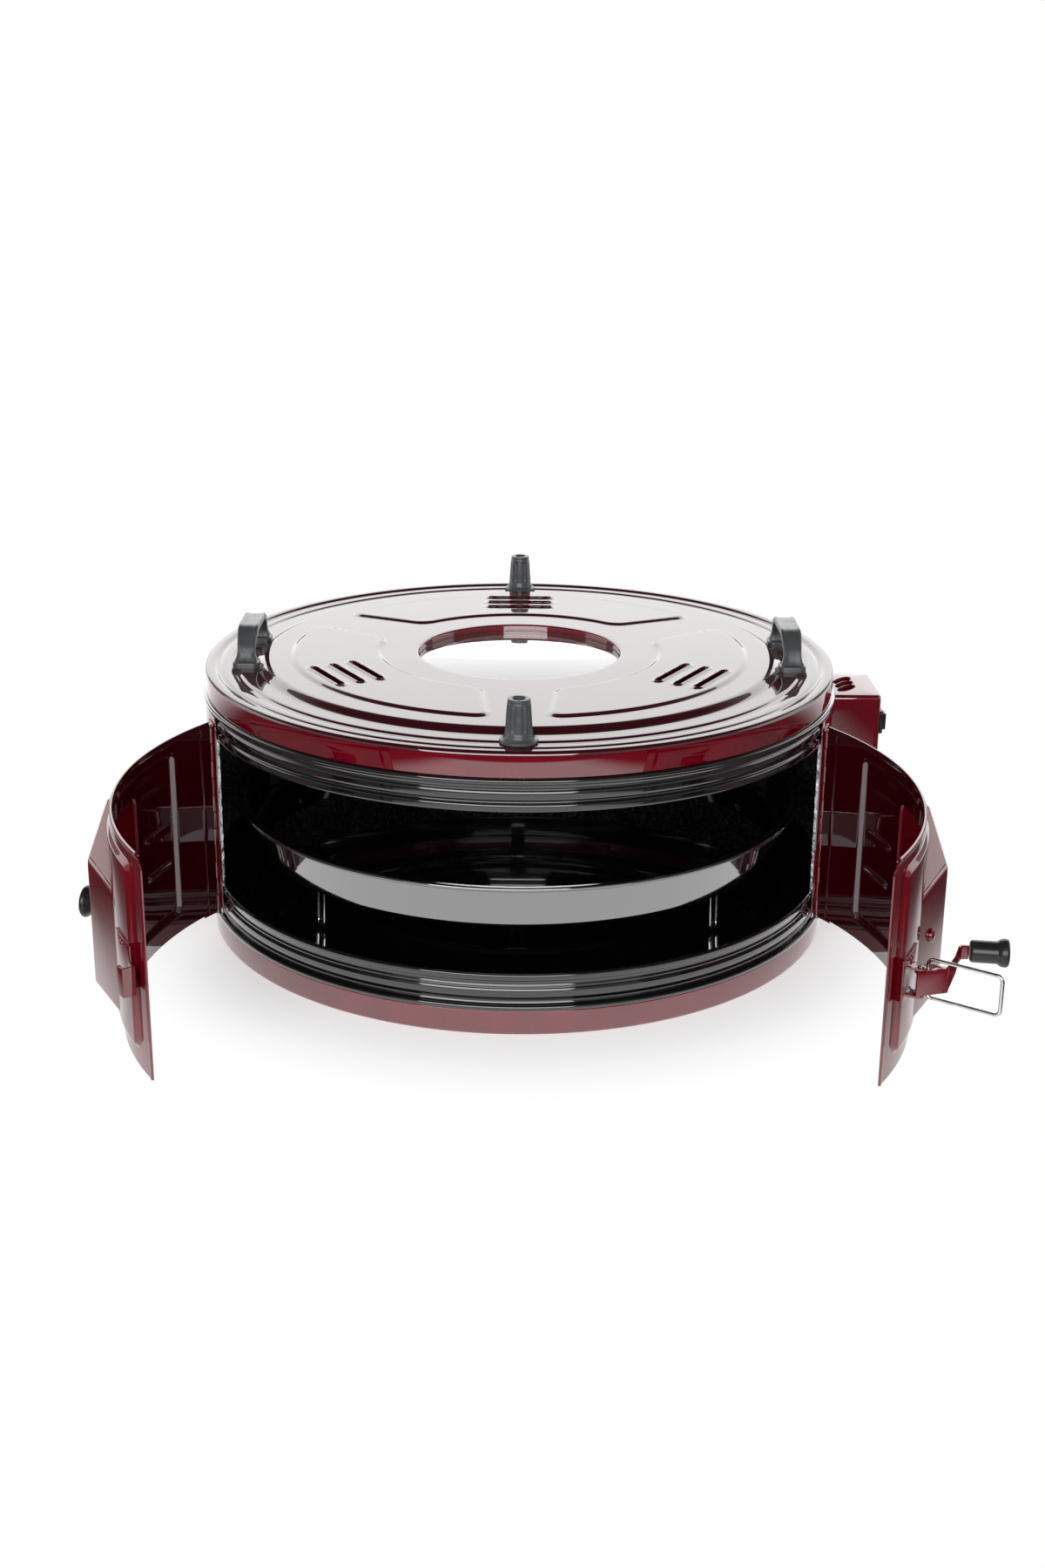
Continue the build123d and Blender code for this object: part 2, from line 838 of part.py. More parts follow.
# Tray: a shallow enamelled pan with a flat rolled rim
tray_bottom = tray_top - tray_depth
tray_wall_top = tray_radius - tray_rim_width
tray_floor_radius = tray_wall_top - tray_wall_run
with BuildPart() as tray:
    with BuildSketch(Plane.XZ.offset(tray_forward)):
        with BuildLine():
            Polyline(
                (0, tray_bottom),
                (tray_floor_radius, tray_bottom),
                (tray_wall_top + sheet, tray_top - tray_roll),
                (tray_radius, tray_top - tray_roll),
                (tray_radius, tray_top),
                (tray_wall_top, tray_top),
                (tray_floor_radius - sheet, tray_bottom + sheet),
                (0, tray_bottom + sheet),
                close=True,
            )
        make_face()
    revolve(axis=Axis((0, -tray_forward, 0), (0, 0, 1)))
keep("tray", tray.part)

# Tray stand: a flat bar triangle on three U-shaped wire legs that stand on the floor pan
stand_top = tray_bottom - body_gap
floor_top = floor_height + sheet + face_gap
leg_height = stand_top - floor_top
stand_circle = tray_floor_radius - stand_inset
leg_reach = stand_circle - 3 * stand_bar
leg_side = (stand_leg_width - stand_wire) / 2
leg_top = leg_height - stand_bar / 2
stand_plane = Plane((0, -tray_forward, 0))
with BuildPart() as tray_stand:
    with BuildSketch(stand_plane.offset(stand_top - stand_bar)):
        RegularPolygon(stand_circle, 3, rotation=90)
        RegularPolygon(stand_circle - 2 * stand_bar, 3, rotation=90, mode=Mode.SUBTRACT)
    extrude(amount=stand_bar)
    for angle in third_angles:
        outward = (cos(radians(angle)), sin(radians(angle)))
        leg_plane = Plane(
            origin=(leg_reach * outward[0], leg_reach * outward[1] - tray_forward, floor_top),
            x_dir=(-outward[1], outward[0], 0),
            z_dir=(outward[0], outward[1], 0),
        )
        with BuildLine(leg_plane) as leg_path:
            FilletPolyline(
                (-leg_side, leg_top),
                (-leg_side, stand_wire / 2),
                (leg_side, stand_wire / 2),
                (leg_side, leg_top),
                radius=stand_leg_bend,
            )
        with BuildSketch(Plane(origin=leg_path.line @ 0, z_dir=leg_path.line % 0)):
            RegularPolygon(stand_wire / 2, 6)
        sweep(path=leg_path.line)
keep("tray_stand", tray_stand.part)

# Lid: a pressed disc with a window, three raised slotted sectors and a turned-down skirt
window_flange_bottom = lid_panel_top - window_flange_depth
sector_outer = lid_step_inner - sector_inset
sector_inner = window_radius + sector_window_gap
slot_outer = sector_outer - slot_inset
slot_rows = 1 + int((slot_outer - slot_inner_inset - sector_inner) / slot_pitch)
with BuildPart() as lid_panel:
    turn(
        (
            (window_radius, window_flange_bottom),
            (window_radius, lid_panel_top),
            (lid_step_inner, lid_panel_top),
            (lid_step_outer, lid_ledge),
            (lid_radius - lid_rim_width, lid_ledge),
            (lid_radius - lid_inset, lid_rim_top),
            (lid_radius, lid_rim_top - lid_inset),
            (lid_radius, lid_skirt_bottom),
            (lid_radius - sheet, lid_skirt_bottom),
            (lid_radius - sheet, lid_ledge - sheet),
            (lid_step_outer - sheet / 2, lid_ledge - sheet),
            (lid_step_inner - sheet / 2, lid_panel_top - sheet),
            (window_radius + sheet, lid_panel_top - sheet),
            (window_radius + sheet, window_flange_bottom),
        )
    )
    for middle in third_angles:
        with BuildSketch(Plane.XY.offset(lid_panel_top)):
            with BuildLine():
                outer_arc = CenterArc(
                    (0, 0), sector_outer, middle - sector_half_outer, 2 * sector_half_outer
                )
                inner_arc = CenterArc(
                    (0, 0), sector_inner, middle - sector_half_inner, 2 * sector_half_inner
                )
                Line(outer_arc @ 0, inner_arc @ 0)
                Line(outer_arc @ 1, inner_arc @ 1)
            make_face()
        extrude(amount=sector_rise)
    sector_tops = lid_panel.faces().filter_by(Plane.XY).group_by(Axis.Z)[-1]
    chamfer(sector_tops.edges(), sector_rise - sector_land)
    with BuildSketch(Plane.XY.offset(lid_panel_top + sector_rise)):
        for row in range(slot_rows):
            with PolarLocations(slot_outer - row * slot_pitch, len(third_angles), third_angles[0]):
                Rectangle(slot_width, slot_length)
    extrude(amount=-2 * lid_panel_rise, mode=Mode.SUBTRACT)
keep("lid_panel", lid_panel.part)

# Window: a glass disc on a grey gasket inside the lid's flange
with BuildPart() as window_gasket:
    turn(
        (
            (window_radius - gasket_width, window_flange_bottom),
            (window_radius - seat_gap, window_flange_bottom),
            (window_radius - seat_gap, window_flange_bottom + gasket_height),
            (window_radius - gasket_width, window_flange_bottom + gasket_height),
        )
    )
keep("window_gasket", window_gasket.part)

glass_low = window_flange_bottom + gasket_height
with BuildPart() as window_glass:
    with BuildSketch(Plane.XY.offset(glass_low)):
        Circle(window_radius - seat_gap)
    extrude(amount=glass_thickness)
keep("window_glass", window_glass.part)

# Lid handles: two strap handles, at the left and right edges
handle_base = lid_ledge + face_gap
handle_offset = lid_step_outer + handle_step_gap
strap_low = handle_base + handle_foot[2] / 2
strap_high = handle_base + handle_rise - handle_thickness / 2
strap_half = (handle_length - handle_foot[1]) / 2
with BuildPart() as lid_handle:
    with BuildSketch(Plane.YZ.offset(handle_offset)):
        with BuildLine():
            FilletPolyline(
                (-strap_half, strap_low),
                (handle_lean - strap_half, strap_high),
                (strap_half - handle_lean, strap_high),
                (strap_half, strap_low),
                radius=handle_bend,
            )
        trace(line_width=handle_thickness)
    extrude(amount=handle_width / 2, both=True)
    with BuildSketch(Plane.XY.offset(handle_base)):
        for end in (-1, 1):
            with Locations((handle_offset, end * strap_half)):
                Rectangle(handle_foot[0], handle_foot[1])
    extrude(amount=handle_foot[2])
    split(bisect_by=Plane.XY.offset(handle_base))
keep("right_lid_handle", lid_handle.part)
keep("left_lid_handle", lid_handle.part.mirror(Plane.YZ))

# Lid pegs: hollow tapered pegs on which the lid stands when it is turned over
peg_offset = lid_step_outer + peg_step_gap
peg_flange_top = handle_base + peg_flange_height
peg_top = handle_base + peg_height
with BuildPart() as lid_peg:
    turn(
        (
            (0, handle_base),
            (peg_flange / 2, handle_base),
            (peg_flange / 2, peg_flange_top),
            (peg_base / 2, peg_flange_top + sheet),
            (peg_tip / 2, peg_top),
            (peg_hole / 2, peg_top),
            (peg_hole / 2, peg_top - peg_hole_depth),
            (0, peg_top - peg_hole_depth),
        )
    )
keep("front_lid_peg", lid_peg.part.translate((0, -peg_offset, 0)))
keep("rear_lid_peg", lid_peg.part.translate((0, peg_offset, 0)))

# Control box: a hollow pressed box on the rear right of the drum, louvred on top
control_middle = (control_front + control_rear) / 2
control_depth = control_rear - control_front
control_reach = 2 * control_proud
gland_place = (control_outer - gland_inset[0], control_rear - gland_inset[1])
with BuildPart() as control_hollow:
    with BuildSketch(Plane.XY.offset(control_bottom + control_sheet)):
        with Locations((control_outer - control_proud - control_sheet, control_middle)):
            Rectangle(control_reach, control_depth - 2 * control_sheet)
    extrude(amount=control_top - control_bottom - 2 * control_sheet)
with BuildPart() as control_box:
    with BuildSketch(Plane.XY.offset(control_bottom)):
        with Locations((control_outer - control_proud, control_middle)):
            Rectangle(control_reach, control_depth)
    extrude(amount=control_top - control_bottom)
    fillet(control_box.edges().filter_by(Axis.Z).group_by(Axis.X)[-1], control_corner)
    fillet(control_box.faces().sort_by(Axis.Z)[-1].edges().sort_by(Axis.X)[1:], control_edge)
    add(control_hollow.part, mode=Mode.SUBTRACT)
    with BuildSketch(Plane.XY):
        Circle(wall_radius + running_fit)
    extrude(amount=drum_height, mode=Mode.SUBTRACT)
    with BuildSketch(Plane.XY.offset(control_top)):
        with Locations((control_outer - louvre_inset, control_middle)):
            with GridLocations(1, louvre_pitch, 1, 3):
                Rectangle(*louvre_size, rotation=louvre_turn)
    extrude(amount=-2 * control_sheet, mode=Mode.SUBTRACT)
    with BuildSketch(Plane.YZ.offset(control_outer)):
        with Locations((switch_middle, switch_height)):
            Rectangle(*switch_hole)
    extrude(amount=-2 * control_sheet, mode=Mode.SUBTRACT)
    with BuildSketch(Plane.XY.offset(control_bottom)):
        with Locations(gland_place):
            Circle(gland_neck)
    extrude(amount=2 * control_sheet, mode=Mode.SUBTRACT)
keep("control_box", control_box.part)

# Cord gland: a bushing in the underside of the control box
with BuildPart() as cord_gland:
    with BuildSketch(Plane.XY.offset(control_bottom - gland_lip)):
        with Locations(gland_place):
            Circle(gland_radius)
            Circle(gland_bore, mode=Mode.SUBTRACT)
    extrude(amount=gland_lip)
    with BuildSketch(Plane.XY.offset(control_bottom)):
        with Locations(gland_place):
            Circle(gland_neck - running_fit)
            Circle(gland_bore, mode=Mode.SUBTRACT)
    extrude(amount=2 * control_sheet)
keep("cord_gland", cord_gland.part)

# Rocker switch: a bezel on the box's outer side, and the rocker in it
with BuildPart() as switch_bezel:
    with BuildSketch(Plane.YZ.offset(control_outer)):
        with Locations((switch_middle, switch_height)):
            RectangleRounded(bezel_size[0], bezel_size[1], 1.5)
            Rectangle(*switch_hole, mode=Mode.SUBTRACT)
    extrude(amount=bezel_size[2])
keep("switch_bezel", switch_bezel.part)

rocker_half = rocker_size[0] / 2
rocker_axis = Axis((control_outer + 0.6, switch_middle, 0), (0, 0, 1))
with BuildPart() as rocker:
    with BuildSketch(Plane.XY.offset(switch_height - rocker_size[1] / 2)):
        with BuildLine():
            Polyline(
                (control_outer - 1.4, switch_middle - 5),
                (control_outer + 0.6, switch_middle - rocker_half),
                (control_outer + 3.4, switch_middle - rocker_half),
                (control_outer + 4.4, switch_middle),
                (control_outer + 3.4, switch_middle + rocker_half),
                (control_outer + 0.6, switch_middle + rocker_half),
                (control_outer - 1.4, switch_middle + 5),
                close=True,
            )
        make_face()
    extrude(amount=rocker_size[1])
keep("switch_rocker", rocker.part.rotate(rocker_axis, rocker_tilt))

os.makedirs("parts", exist_ok=True)
for piece in pieces:
    export_step(piece, f"parts/{piece.label}.step")
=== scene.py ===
# %% [markdown]
# # A round countertop oven
# This lesson dresses a finished CAD model of a round oven. The CAD model says where everything is and
# how it moves. Each step below makes one finish or one piece, which stands for a node of the CAD and rides
# on its body, so every node gets a piece.
# The tables of numbers are in millimetres, which mm turns into metres. Angles in plan are counted from
# the right side of the oven to its front.

# %% Load the frame
import math
import bmesh
import bpy
import numpy as np
from mathutils import Matrix, Vector
from mathutils.noise import noise_vector, seed_set


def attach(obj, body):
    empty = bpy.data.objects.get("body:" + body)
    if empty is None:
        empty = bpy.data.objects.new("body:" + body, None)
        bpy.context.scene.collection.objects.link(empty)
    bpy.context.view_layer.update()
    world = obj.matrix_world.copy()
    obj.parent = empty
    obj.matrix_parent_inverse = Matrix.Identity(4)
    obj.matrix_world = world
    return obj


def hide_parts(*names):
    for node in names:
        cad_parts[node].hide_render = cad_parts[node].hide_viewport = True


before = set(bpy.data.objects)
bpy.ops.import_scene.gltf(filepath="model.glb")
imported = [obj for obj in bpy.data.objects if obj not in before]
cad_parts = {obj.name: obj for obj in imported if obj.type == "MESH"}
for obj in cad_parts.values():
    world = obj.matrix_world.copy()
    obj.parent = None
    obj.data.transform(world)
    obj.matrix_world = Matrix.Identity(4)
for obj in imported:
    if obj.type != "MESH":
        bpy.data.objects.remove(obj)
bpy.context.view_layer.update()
mm = 0.001
forward = -1

# %% [markdown]
# ## Camera
# The oven was seen from a little over a metre away and half a metre up. The camera is placed by its
# matrix, because a place, a tilt and a small roll are easier to read as three steps than as three angles.

# %% Camera
lens_data = bpy.data.cameras.new("camera")
lens_data.lens = 43.1
lens_data.sensor_width = 36.0
lens_data.shift_x = 0.0024
lens_data.shift_y = -0.0301
camera = bpy.data.objects.new("camera", lens_data)
stand_point = Matrix.Translation((0, -1.1558, 0.4898))
tilt = Matrix.Rotation(math.radians(71.95), 4, "X")
roll = Matrix.Rotation(0.008, 4, "Z")
camera.matrix_world = stand_point @ tilt @ roll
bpy.context.scene.collection.objects.link(camera)
bpy.context.scene.camera = camera
bpy.context.scene.view_settings.view_transform = "Standard"
print("camera at", tuple(round(x, 3) for x in camera.location))

# %% [markdown]
# ## Shader sums
# A material's sums are easier to read as Python than as a pile of nodes. This class wraps one output
# socket, so that adding or multiplying two of them adds a Math node. One method makes every other node.


# %% Shader sums
class Wire:
    """One socket of a shader, on which Python's operators add Math nodes."""

    def __init__(self, tree, socket=None):
        self.tree = tree
        self.socket = socket

    def node(self, kind, settings=None, inputs=None, output=0):
        """Adds a node: its settings are set first, then the values or wires of its sockets."""
        made = self.tree.nodes.new(kind)
        for name, value in (settings or {}).items():
            setattr(made, name, value)
        for name, value in (inputs or {}).items():
            if isinstance(value, Wire):
                self.tree.links.new(value.socket, made.inputs[name])
            else:
                made.inputs[name].default_value = value
        return Wire(self.tree, made.outputs[output] if made.outputs else None)

    def math(self, operation, *values):
        return self.node("ShaderNodeMath", {"operation": operation}, dict(enumerate(values)))

    def __add__(self, other):
        return self.math("ADD", self, other)

    __radd__ = __add__

    def __sub__(self, other):
        return self.math("SUBTRACT", self, other)

    def __rsub__(self, other):
        return self.math("SUBTRACT", other, self)

    def __mul__(self, other):
        return self.math("MULTIPLY", self, other)

    __rmul__ = __mul__

    def smooth(self, low, high):
        """Rises softly from 0 at low to 1 at high."""
        settings = {"interpolation_type": "SMOOTHSTEP"}
        inputs = {"Value": self, "From Min": low, "From Max": high}
        return self.node("ShaderNodeMapRange", settings, inputs)

    def blend(self, first, second):
        """First colour where this wire is 0, second where it is 1."""
        return self.node("ShaderNodeMix", {"data_type": "RGBA"}, {0: self, 6: first, 7: second}, 2)

    def part(self, index):
        """One of the three numbers of a vector or colour."""
        return self.node("ShaderNodeSeparateXYZ", inputs={0: self}, output=index)

    def place(self, kind="Object"):
        """Where the point lies: Object gives metres, Generated the way from the world's middle."""
        return self.node("ShaderNodeTexCoord", output=kind)

    def seen_and_glossy(self):
        """1 for what is seen directly or through glass, and 1 for what polish mirrors."""
        camera_ray = self.node("ShaderNodeLightPath", output="Is Camera Ray")
        through_ray = self.node("ShaderNodeLightPath", output="Is Transmission Ray")
        glossy_ray = self.node("ShaderNodeLightPath", output="Is Glossy Ray")
        return self.math("MINIMUM", camera_ray + through_ray, 1.0), glossy_ray


print("Wire is ready")

# %% [markdown]
# ## Backdrop
# A studio has a pale wall behind the table and dim air overhead. The world is white for the camera and for
# glass. Polish mirrors a paler band near the horizon and a dim top, so the pressed lines of the lid,
# which mirror the top, read as dark lines. Everything else is lit by soft, plain air.

# %% World
world = bpy.data.worlds.new("studio")
world.use_nodes = True
world.node_tree.nodes.clear()
bpy.context.scene.world = world
air = Wire(world.node_tree)
upward = air.place("Generated").part(2)
seen, glossy = air.seen_and_glossy()
wall_in_gloss = 0.3 * (1 - upward.smooth(0.45, 0.72) * 0.9)
soft_air = 0.5 - upward.smooth(0.1, 0.7) * 0.35
level = seen + glossy * wall_in_gloss + (1 - seen - glossy) * soft_air
sky = air.node("ShaderNodeBackground", inputs={"Color": (1, 1, 1, 1), "Strength": level})
air.node("ShaderNodeOutputWorld", inputs={"Surface": sky})
print("world is white for the camera and softer for the oven")

# %% [markdown]
# ## Floor
# The oven stands on a white sweep. Near the oven the floor is matt, so it takes the shadow; further away
# the camera sees plain white. Polish mirrors the floor as if only parts of it were lit: a strip in front,
# a patch round the oven and the part behind it. That gives the skirt its pale middle and dark sides.

# %% Floor
floor_mesh = bmesh.new()
bmesh.ops.create_grid(floor_mesh, x_segments=8, y_segments=8, size=6)
floor_data = bpy.data.meshes.new("floor")
floor_mesh.to_mesh(floor_data)
floor_mesh.free()
floor = bpy.data.objects.new("floor", floor_data)
bpy.context.scene.collection.objects.link(floor)

floor_finish = bpy.data.materials.new("white_sweep")
floor_finish.use_nodes = True
floor_finish.node_tree.nodes.clear()
floor_data.materials.append(floor_finish)
sweep = Wire(floor_finish.node_tree)
seen, glossy = sweep.seen_and_glossy()
across = sweep.math("ABSOLUTE", sweep.place().part(0))
along = sweep.place().part(1)
distance = sweep.math("SQRT", across * across + along * along)
front_strip = (1 - across.smooth(0.2, 0.42)) * along.smooth(-0.85, -0.78)
round_oven = 1 - distance.smooth(0.3, 0.4)
behind_oven = along.smooth(0.1, 0.5) * 1.5
lit = sweep.math("MAXIMUM", sweep.math("MAXIMUM", front_strip, round_oven), behind_oven)
matt = sweep.node("ShaderNodeBsdfDiffuse", inputs={"Color": (0.86, 0.86, 0.86, 1)})
lift = sweep.node("ShaderNodeEmission", inputs={"Color": (1, 1, 1, 1), "Strength": seen * 0.45})
near_floor = sweep.node("ShaderNodeAddShader", inputs={0: matt, 1: lift})
white = sweep.node("ShaderNodeEmission", inputs={"Color": (1, 1, 1, 1), "Strength": 1.0})
mirrored_level = 0.04 + 0.96 * lit
in_gloss = sweep.node("ShaderNodeEmission", inputs={"Color": (1, 1, 1, 1), "Strength": mirrored_level})
away = seen * distance.smooth(0.19, 0.28)
for_camera = sweep.node("ShaderNodeMixShader", inputs={0: away, 1: near_floor, 2: white})
for_all = sweep.node("ShaderNodeMixShader", inputs={0: glossy, 1: for_camera, 2: in_gloss})
sweep.node("ShaderNodeOutputMaterial", inputs={"Surface": for_all})
print("floor is", floor.dimensions.x, "m wide")

# %% [markdown]
# ## Lamps
# Four large boxes give soft light from all round. The one behind is what the flat lid mirrors, and the one
# in front lights the painted fronts.


# %% Lamps
def soft_box(name, place, aim, size, radiance):
    """A large soft lamp, which the camera doesn't see. Its power follows from its face's radiance."""
    data = bpy.data.lights.new(name, "AREA")
    data.shape = "RECTANGLE"
    data.size, data.size_y = size
    data.energy = radiance * math.pi * size[0] * size[1]
    lamp = bpy.data.objects.new(name, data)
    lamp.location = place
    lamp.rotation_euler = (Vector(aim) - Vector(place)).to_track_quat("-Z", "Y").to_euler()
    lamp.visible_camera = False
    bpy.context.scene.collection.objects.link(lamp)


soft_box("rear_box", (0, 1.9, 0.85), (0, 0, 0.15), (3.0, 1.2), 1.9)
soft_box("left_box", (-1.9, 0.5, 0.7), (0, 0, 0.1), (1.4, 1.0), 0.9)
soft_box("right_box", (1.9, 0.5, 0.7), (0, 0, 0.1), (1.4, 1.0), 0.9)
soft_box("front_box", (-0.3, -2.4, 1.0), (0, 0, 0.1), (2.4, 1.2), 4.2)
print("four soft lamps")

# %% [markdown]
# ## Finishes
# Each finish is a small recipe on object coordinates, in metres, so a noise of scale 500 has grains of
# about two millimetres. Numbers that are the same all over are set on the shader itself.


# %% Material helpers
def new_finish(name):
    """An empty material and a wire to build on."""
    material = bpy.data.materials.new(name)
    material.use_nodes = True
    material.node_tree.nodes.clear()
    return material, Wire(material.node_tree)


def close_finish(wire, inputs):
    """Ends a material in one Principled shader."""
    shader = wire.node("ShaderNodeBsdfPrincipled", inputs=inputs)
    wire.node("ShaderNodeOutputMaterial", inputs={"Surface": shader})


def noise(wire, scale, detail=3.0, roughness=0.5):
    """Soft noise over the piece, about 0 to 1."""
    inputs = {"Vector": wire.place(), "Scale": scale, "Detail": detail, "Roughness": roughness}
    return wire.node("ShaderNodeTexNoise", inputs=inputs)


def cells(wire, scale, output="Distance"):
    """Voronoi cells over the piece."""
    inputs = {"Vector": wire.place(), "Scale": scale}
    return wire.node("ShaderNodeTexVoronoi", inputs=inputs, output=output)


def bumped(wire, height, distance, strength=1.0):
    """A Bump node for the Normal socket."""
    inputs = {"Strength": strength, "Distance": distance, "Height": height}
    return wire.node("ShaderNodeBump", inputs=inputs)


# %% [markdown]
# ### Ruby paint
# Candy paint is a tinted lacquer over fine metal flake: dark where it mirrors a dark room, bright red
# where it mirrors a lamp, and under a hard clear coat. The flat top of the lid and the insides of the
# doors get a darker colour, which is painted shade. A height and a radius find the lid's top, and an
# attribute marks the insides.


# %% Ruby paint
def ruby_paint(name, deep, bright, painted_shade_colour):
    material, wire = new_finish(name)
    shade = noise(wire, 35, 2).smooth(0.3, 0.7) * 0.35 + cells(wire, 2600, "Color").part(0) * 0.65
    inside = wire.node("ShaderNodeAttribute", {"attribute_name": "inside"}, output="Fac")
    flat_inputs = {0: wire.place(), 1: (1, 1, 0)}
    in_plan = wire.node("ShaderNodeVectorMath", {"operation": "MULTIPLY"}, flat_inputs)
    radius = wire.node("ShaderNodeVectorMath", {"operation": "LENGTH"}, {0: in_plan}, "Value")
    lid_top = wire.place().part(2).smooth(0.1655, 0.1675) * radius.smooth(0.0645, 0.0665)
    # Painted shade: the lid's flat top and the doors' inner faces get a darker colour.
    painted_shade_mask = wire.math("MAXIMUM", inside, lid_top)
    close_finish(wire, {
        "Base Color": painted_shade_mask.blend(shade.blend(deep, bright), painted_shade_colour),
        "Metallic": 0.2,
        "Specular IOR Level": 0.0,
        "Roughness": 0.36 + noise(wire, 90, 4).smooth(0.35, 0.75) * 0.05,
        "Normal": bumped(wire, noise(wire, 240, 2), 0.0004, 0.05),
        "Coat Weight": 1.0,
        "Coat Roughness": 0.02,
        "Coat IOR": 2.1,
    })
    return material


# The third colour is the painted shade of the lid's top and of the doors' insides.
ruby = ruby_paint(
    "ruby_paint", (0.12, 0.0004, 0.005, 1), (0.25, 0.0006, 0.013, 1), (0.055, 0.0005, 0.004, 1),
)
print(ruby.name)


# %% [markdown]
# ### Black enamel
# Stove enamel is glass fused on steel. It is black in its body and mirrors what is round it, with a
# gentle waviness from the firing. The tray's enamel is the brighter mirror of the two.


# %% Black enamel
def black_enamel(name, gloss):
    material, wire = new_finish(name)
    speck = cells(wire, 900)
    body = speck.smooth(0.05, 0.4).blend((0.012, 0.012, 0.013, 1), (0.004, 0.004, 0.005, 1))
    close_finish(wire, {
        "Base Color": body,
        "Roughness": 0.07 + noise(wire, 60, 3).smooth(0.3, 0.8) * 0.06,
        "Normal": bumped(wire, noise(wire, 130, 1), 0.0005, 0.06),
        "Coat Weight": 1.0,
        "Coat Roughness": 0.02,
        "Coat IOR": gloss,
    })
    return material


enamel = black_enamel("black_enamel", 1.65)
tray_enamel = black_enamel("tray_enamel", 3.2)


# %% [markdown]
# ### Stucco liner
# The liner is rolled steel with an orange-skin pattern, painted black. Cells give the raised grains,
# whose pale centres are painted highlight on the black paint.


# %% Stucco liner
def stucco(name):
    material, wire = new_finish(name)
    grain_and_glints = cells(wire, 420)
    small = noise(wire, 900, 3)
    close_finish(wire, {
        # The pale grain centres are painted highlight; the dark colour is the black paint.
        "Base Color": grain_and_glints.smooth(0.0, 0.6).blend((0.34, 0.34, 0.35, 1), (0.035, 0.035, 0.037, 1)),
        "Roughness": 0.3 + small.smooth(0.3, 0.7) * 0.15,
        "Metallic": 0.35,
        "Normal": bumped(wire, grain_and_glints + small * 0.3, 0.0009, 0.8),
        "Specular IOR Level": 0.7,
    })
    return material


liner = stucco("stucco_liner")
print(enamel.name, tray_enamel.name, liner.name)

# %% [markdown]
# ### Bare metals
# Bright trims, wires, pins and the heating element differ in tone, polish and dents, so one recipe with
# five numbers serves them all.


# %% Bare metals
def metal(name, pale, dark, roughness, scale, bump):
    """Bare metal whose tone and roughness drift, with fine dents."""
    material, wire = new_finish(name)
    drift = noise(wire, scale, 4, 0.6)
    close_finish(wire, {
        "Base Color": drift.smooth(0.25, 0.75).blend(dark, pale),
        "Metallic": 1.0,
        "Roughness": roughness + noise(wire, scale * 3, 3).smooth(0.3, 0.8) * 0.12,
        "Normal": bumped(wire, noise(wire, scale * 2, 3), bump, 0.5),
    })
    return material


aluminium = metal("crinkled_aluminium", (0.82, 0.83, 0.84, 1), (0.5, 0.51, 0.52, 1), 0.18, 260, 0.0012)
nickel_wire = metal("nickel_wire", (0.8, 0.8, 0.79, 1), (0.6, 0.6, 0.6, 1), 0.12, 120, 0.00005)
element_steel = metal("oxidised_element", (0.16, 0.15, 0.14, 1), (0.05, 0.05, 0.055, 1), 0.38, 90, 0.0001)
pin_steel = metal("pin_steel", (0.6, 0.58, 0.57, 1), (0.35, 0.34, 0.33, 1), 0.25, 200, 0.00005)
print("four metals")

# %% [markdown]
# ### Plastics, rubber and glass
# Moulded plastic has a fine satin grain with a few polished spots. Glass is clear with a faint bloom.


# %% Plastics, rubber and glass
def plastic(name, colour, roughness, grain_and_glints):
    """Moulded plastic with a fine satin grain."""
    material, wire = new_finish(name)
    fine = noise(wire, 2200, 2)
    wear = noise(wire, 120, 4).smooth(0.45, 0.75)
    lighter = tuple(min(1.0, channel * 1.5 + 0.006) for channel in colour[:3]) + (1,)
    close_finish(wire, {
        "Base Color": (wear * 0.6 + fine * 0.4).blend(colour, lighter),
        "Roughness": roughness + wear * 0.08,
        "Normal": bumped(wire, fine, grain_and_glints, 0.5),
        "Specular IOR Level": 0.6,
    })
    return material


satin_grey = plastic("satin_grey", (0.07, 0.073, 0.077, 1), 0.25, 0.0001)
satin_black = plastic("satin_black", (0.014, 0.014, 0.015, 1), 0.26, 0.0001)
switch_black = plastic("switch_black", (0.01, 0.01, 0.011, 1), 0.22, 0.0001)
grey_rubber = plastic("grey_rubber", (0.2, 0.195, 0.19, 1), 0.5, 0.0002)


def clear_glass(name):
    material, wire = new_finish(name)
    close_finish(wire, {
        "Base Color": noise(wire, 8, 1).blend((0.97, 0.985, 0.98, 1), (0.985, 0.99, 0.99, 1)),
        "Roughness": noise(wire, 300, 3).smooth(0.6, 0.9) * 0.02,
        "Transmission Weight": 1.0,
        "IOR": 1.52,
        "Coat Weight": 1.0,
        "Coat IOR": 1.6,
    })
    return material


window_clear = clear_glass("window_clear")
print("plastics, rubber and glass")

# %% [markdown]
# ## Shape helpers
# Everything round is one outline turned about the drum's axis. The outline is a few points joined by
# edges, and a vertex bevel rounds its corners, which is quicker to change than arcs drawn by hand. Every
# other piece is a block, a sheet or a wire that the same few operators bend, cut and ease.


# %% Easing and cutting
def rounded(bm, geom, offset, segments, affect="EDGES", clamp=False):
    """Bevels edges or vertices by an offset in millimetres."""
    bmesh.ops.bevel(
        bm, geom=geom, offset=offset * mm, offset_type="OFFSET", segments=segments, profile=0.5,
        affect=affect, material=-1, clamp_overlap=clamp,
    )


def raised(bm, height):
    """Extrudes every face of the bmesh upwards by a height in millimetres."""
    made = bmesh.ops.extrude_face_region(bm, geom=bm.faces[:])
    top = [item for item in made["geom"] if isinstance(item, bmesh.types.BMVert)]
    bmesh.ops.translate(bm, verts=top, vec=(0, 0, height * mm))
    bmesh.ops.recalc_face_normals(bm, faces=bm.faces)


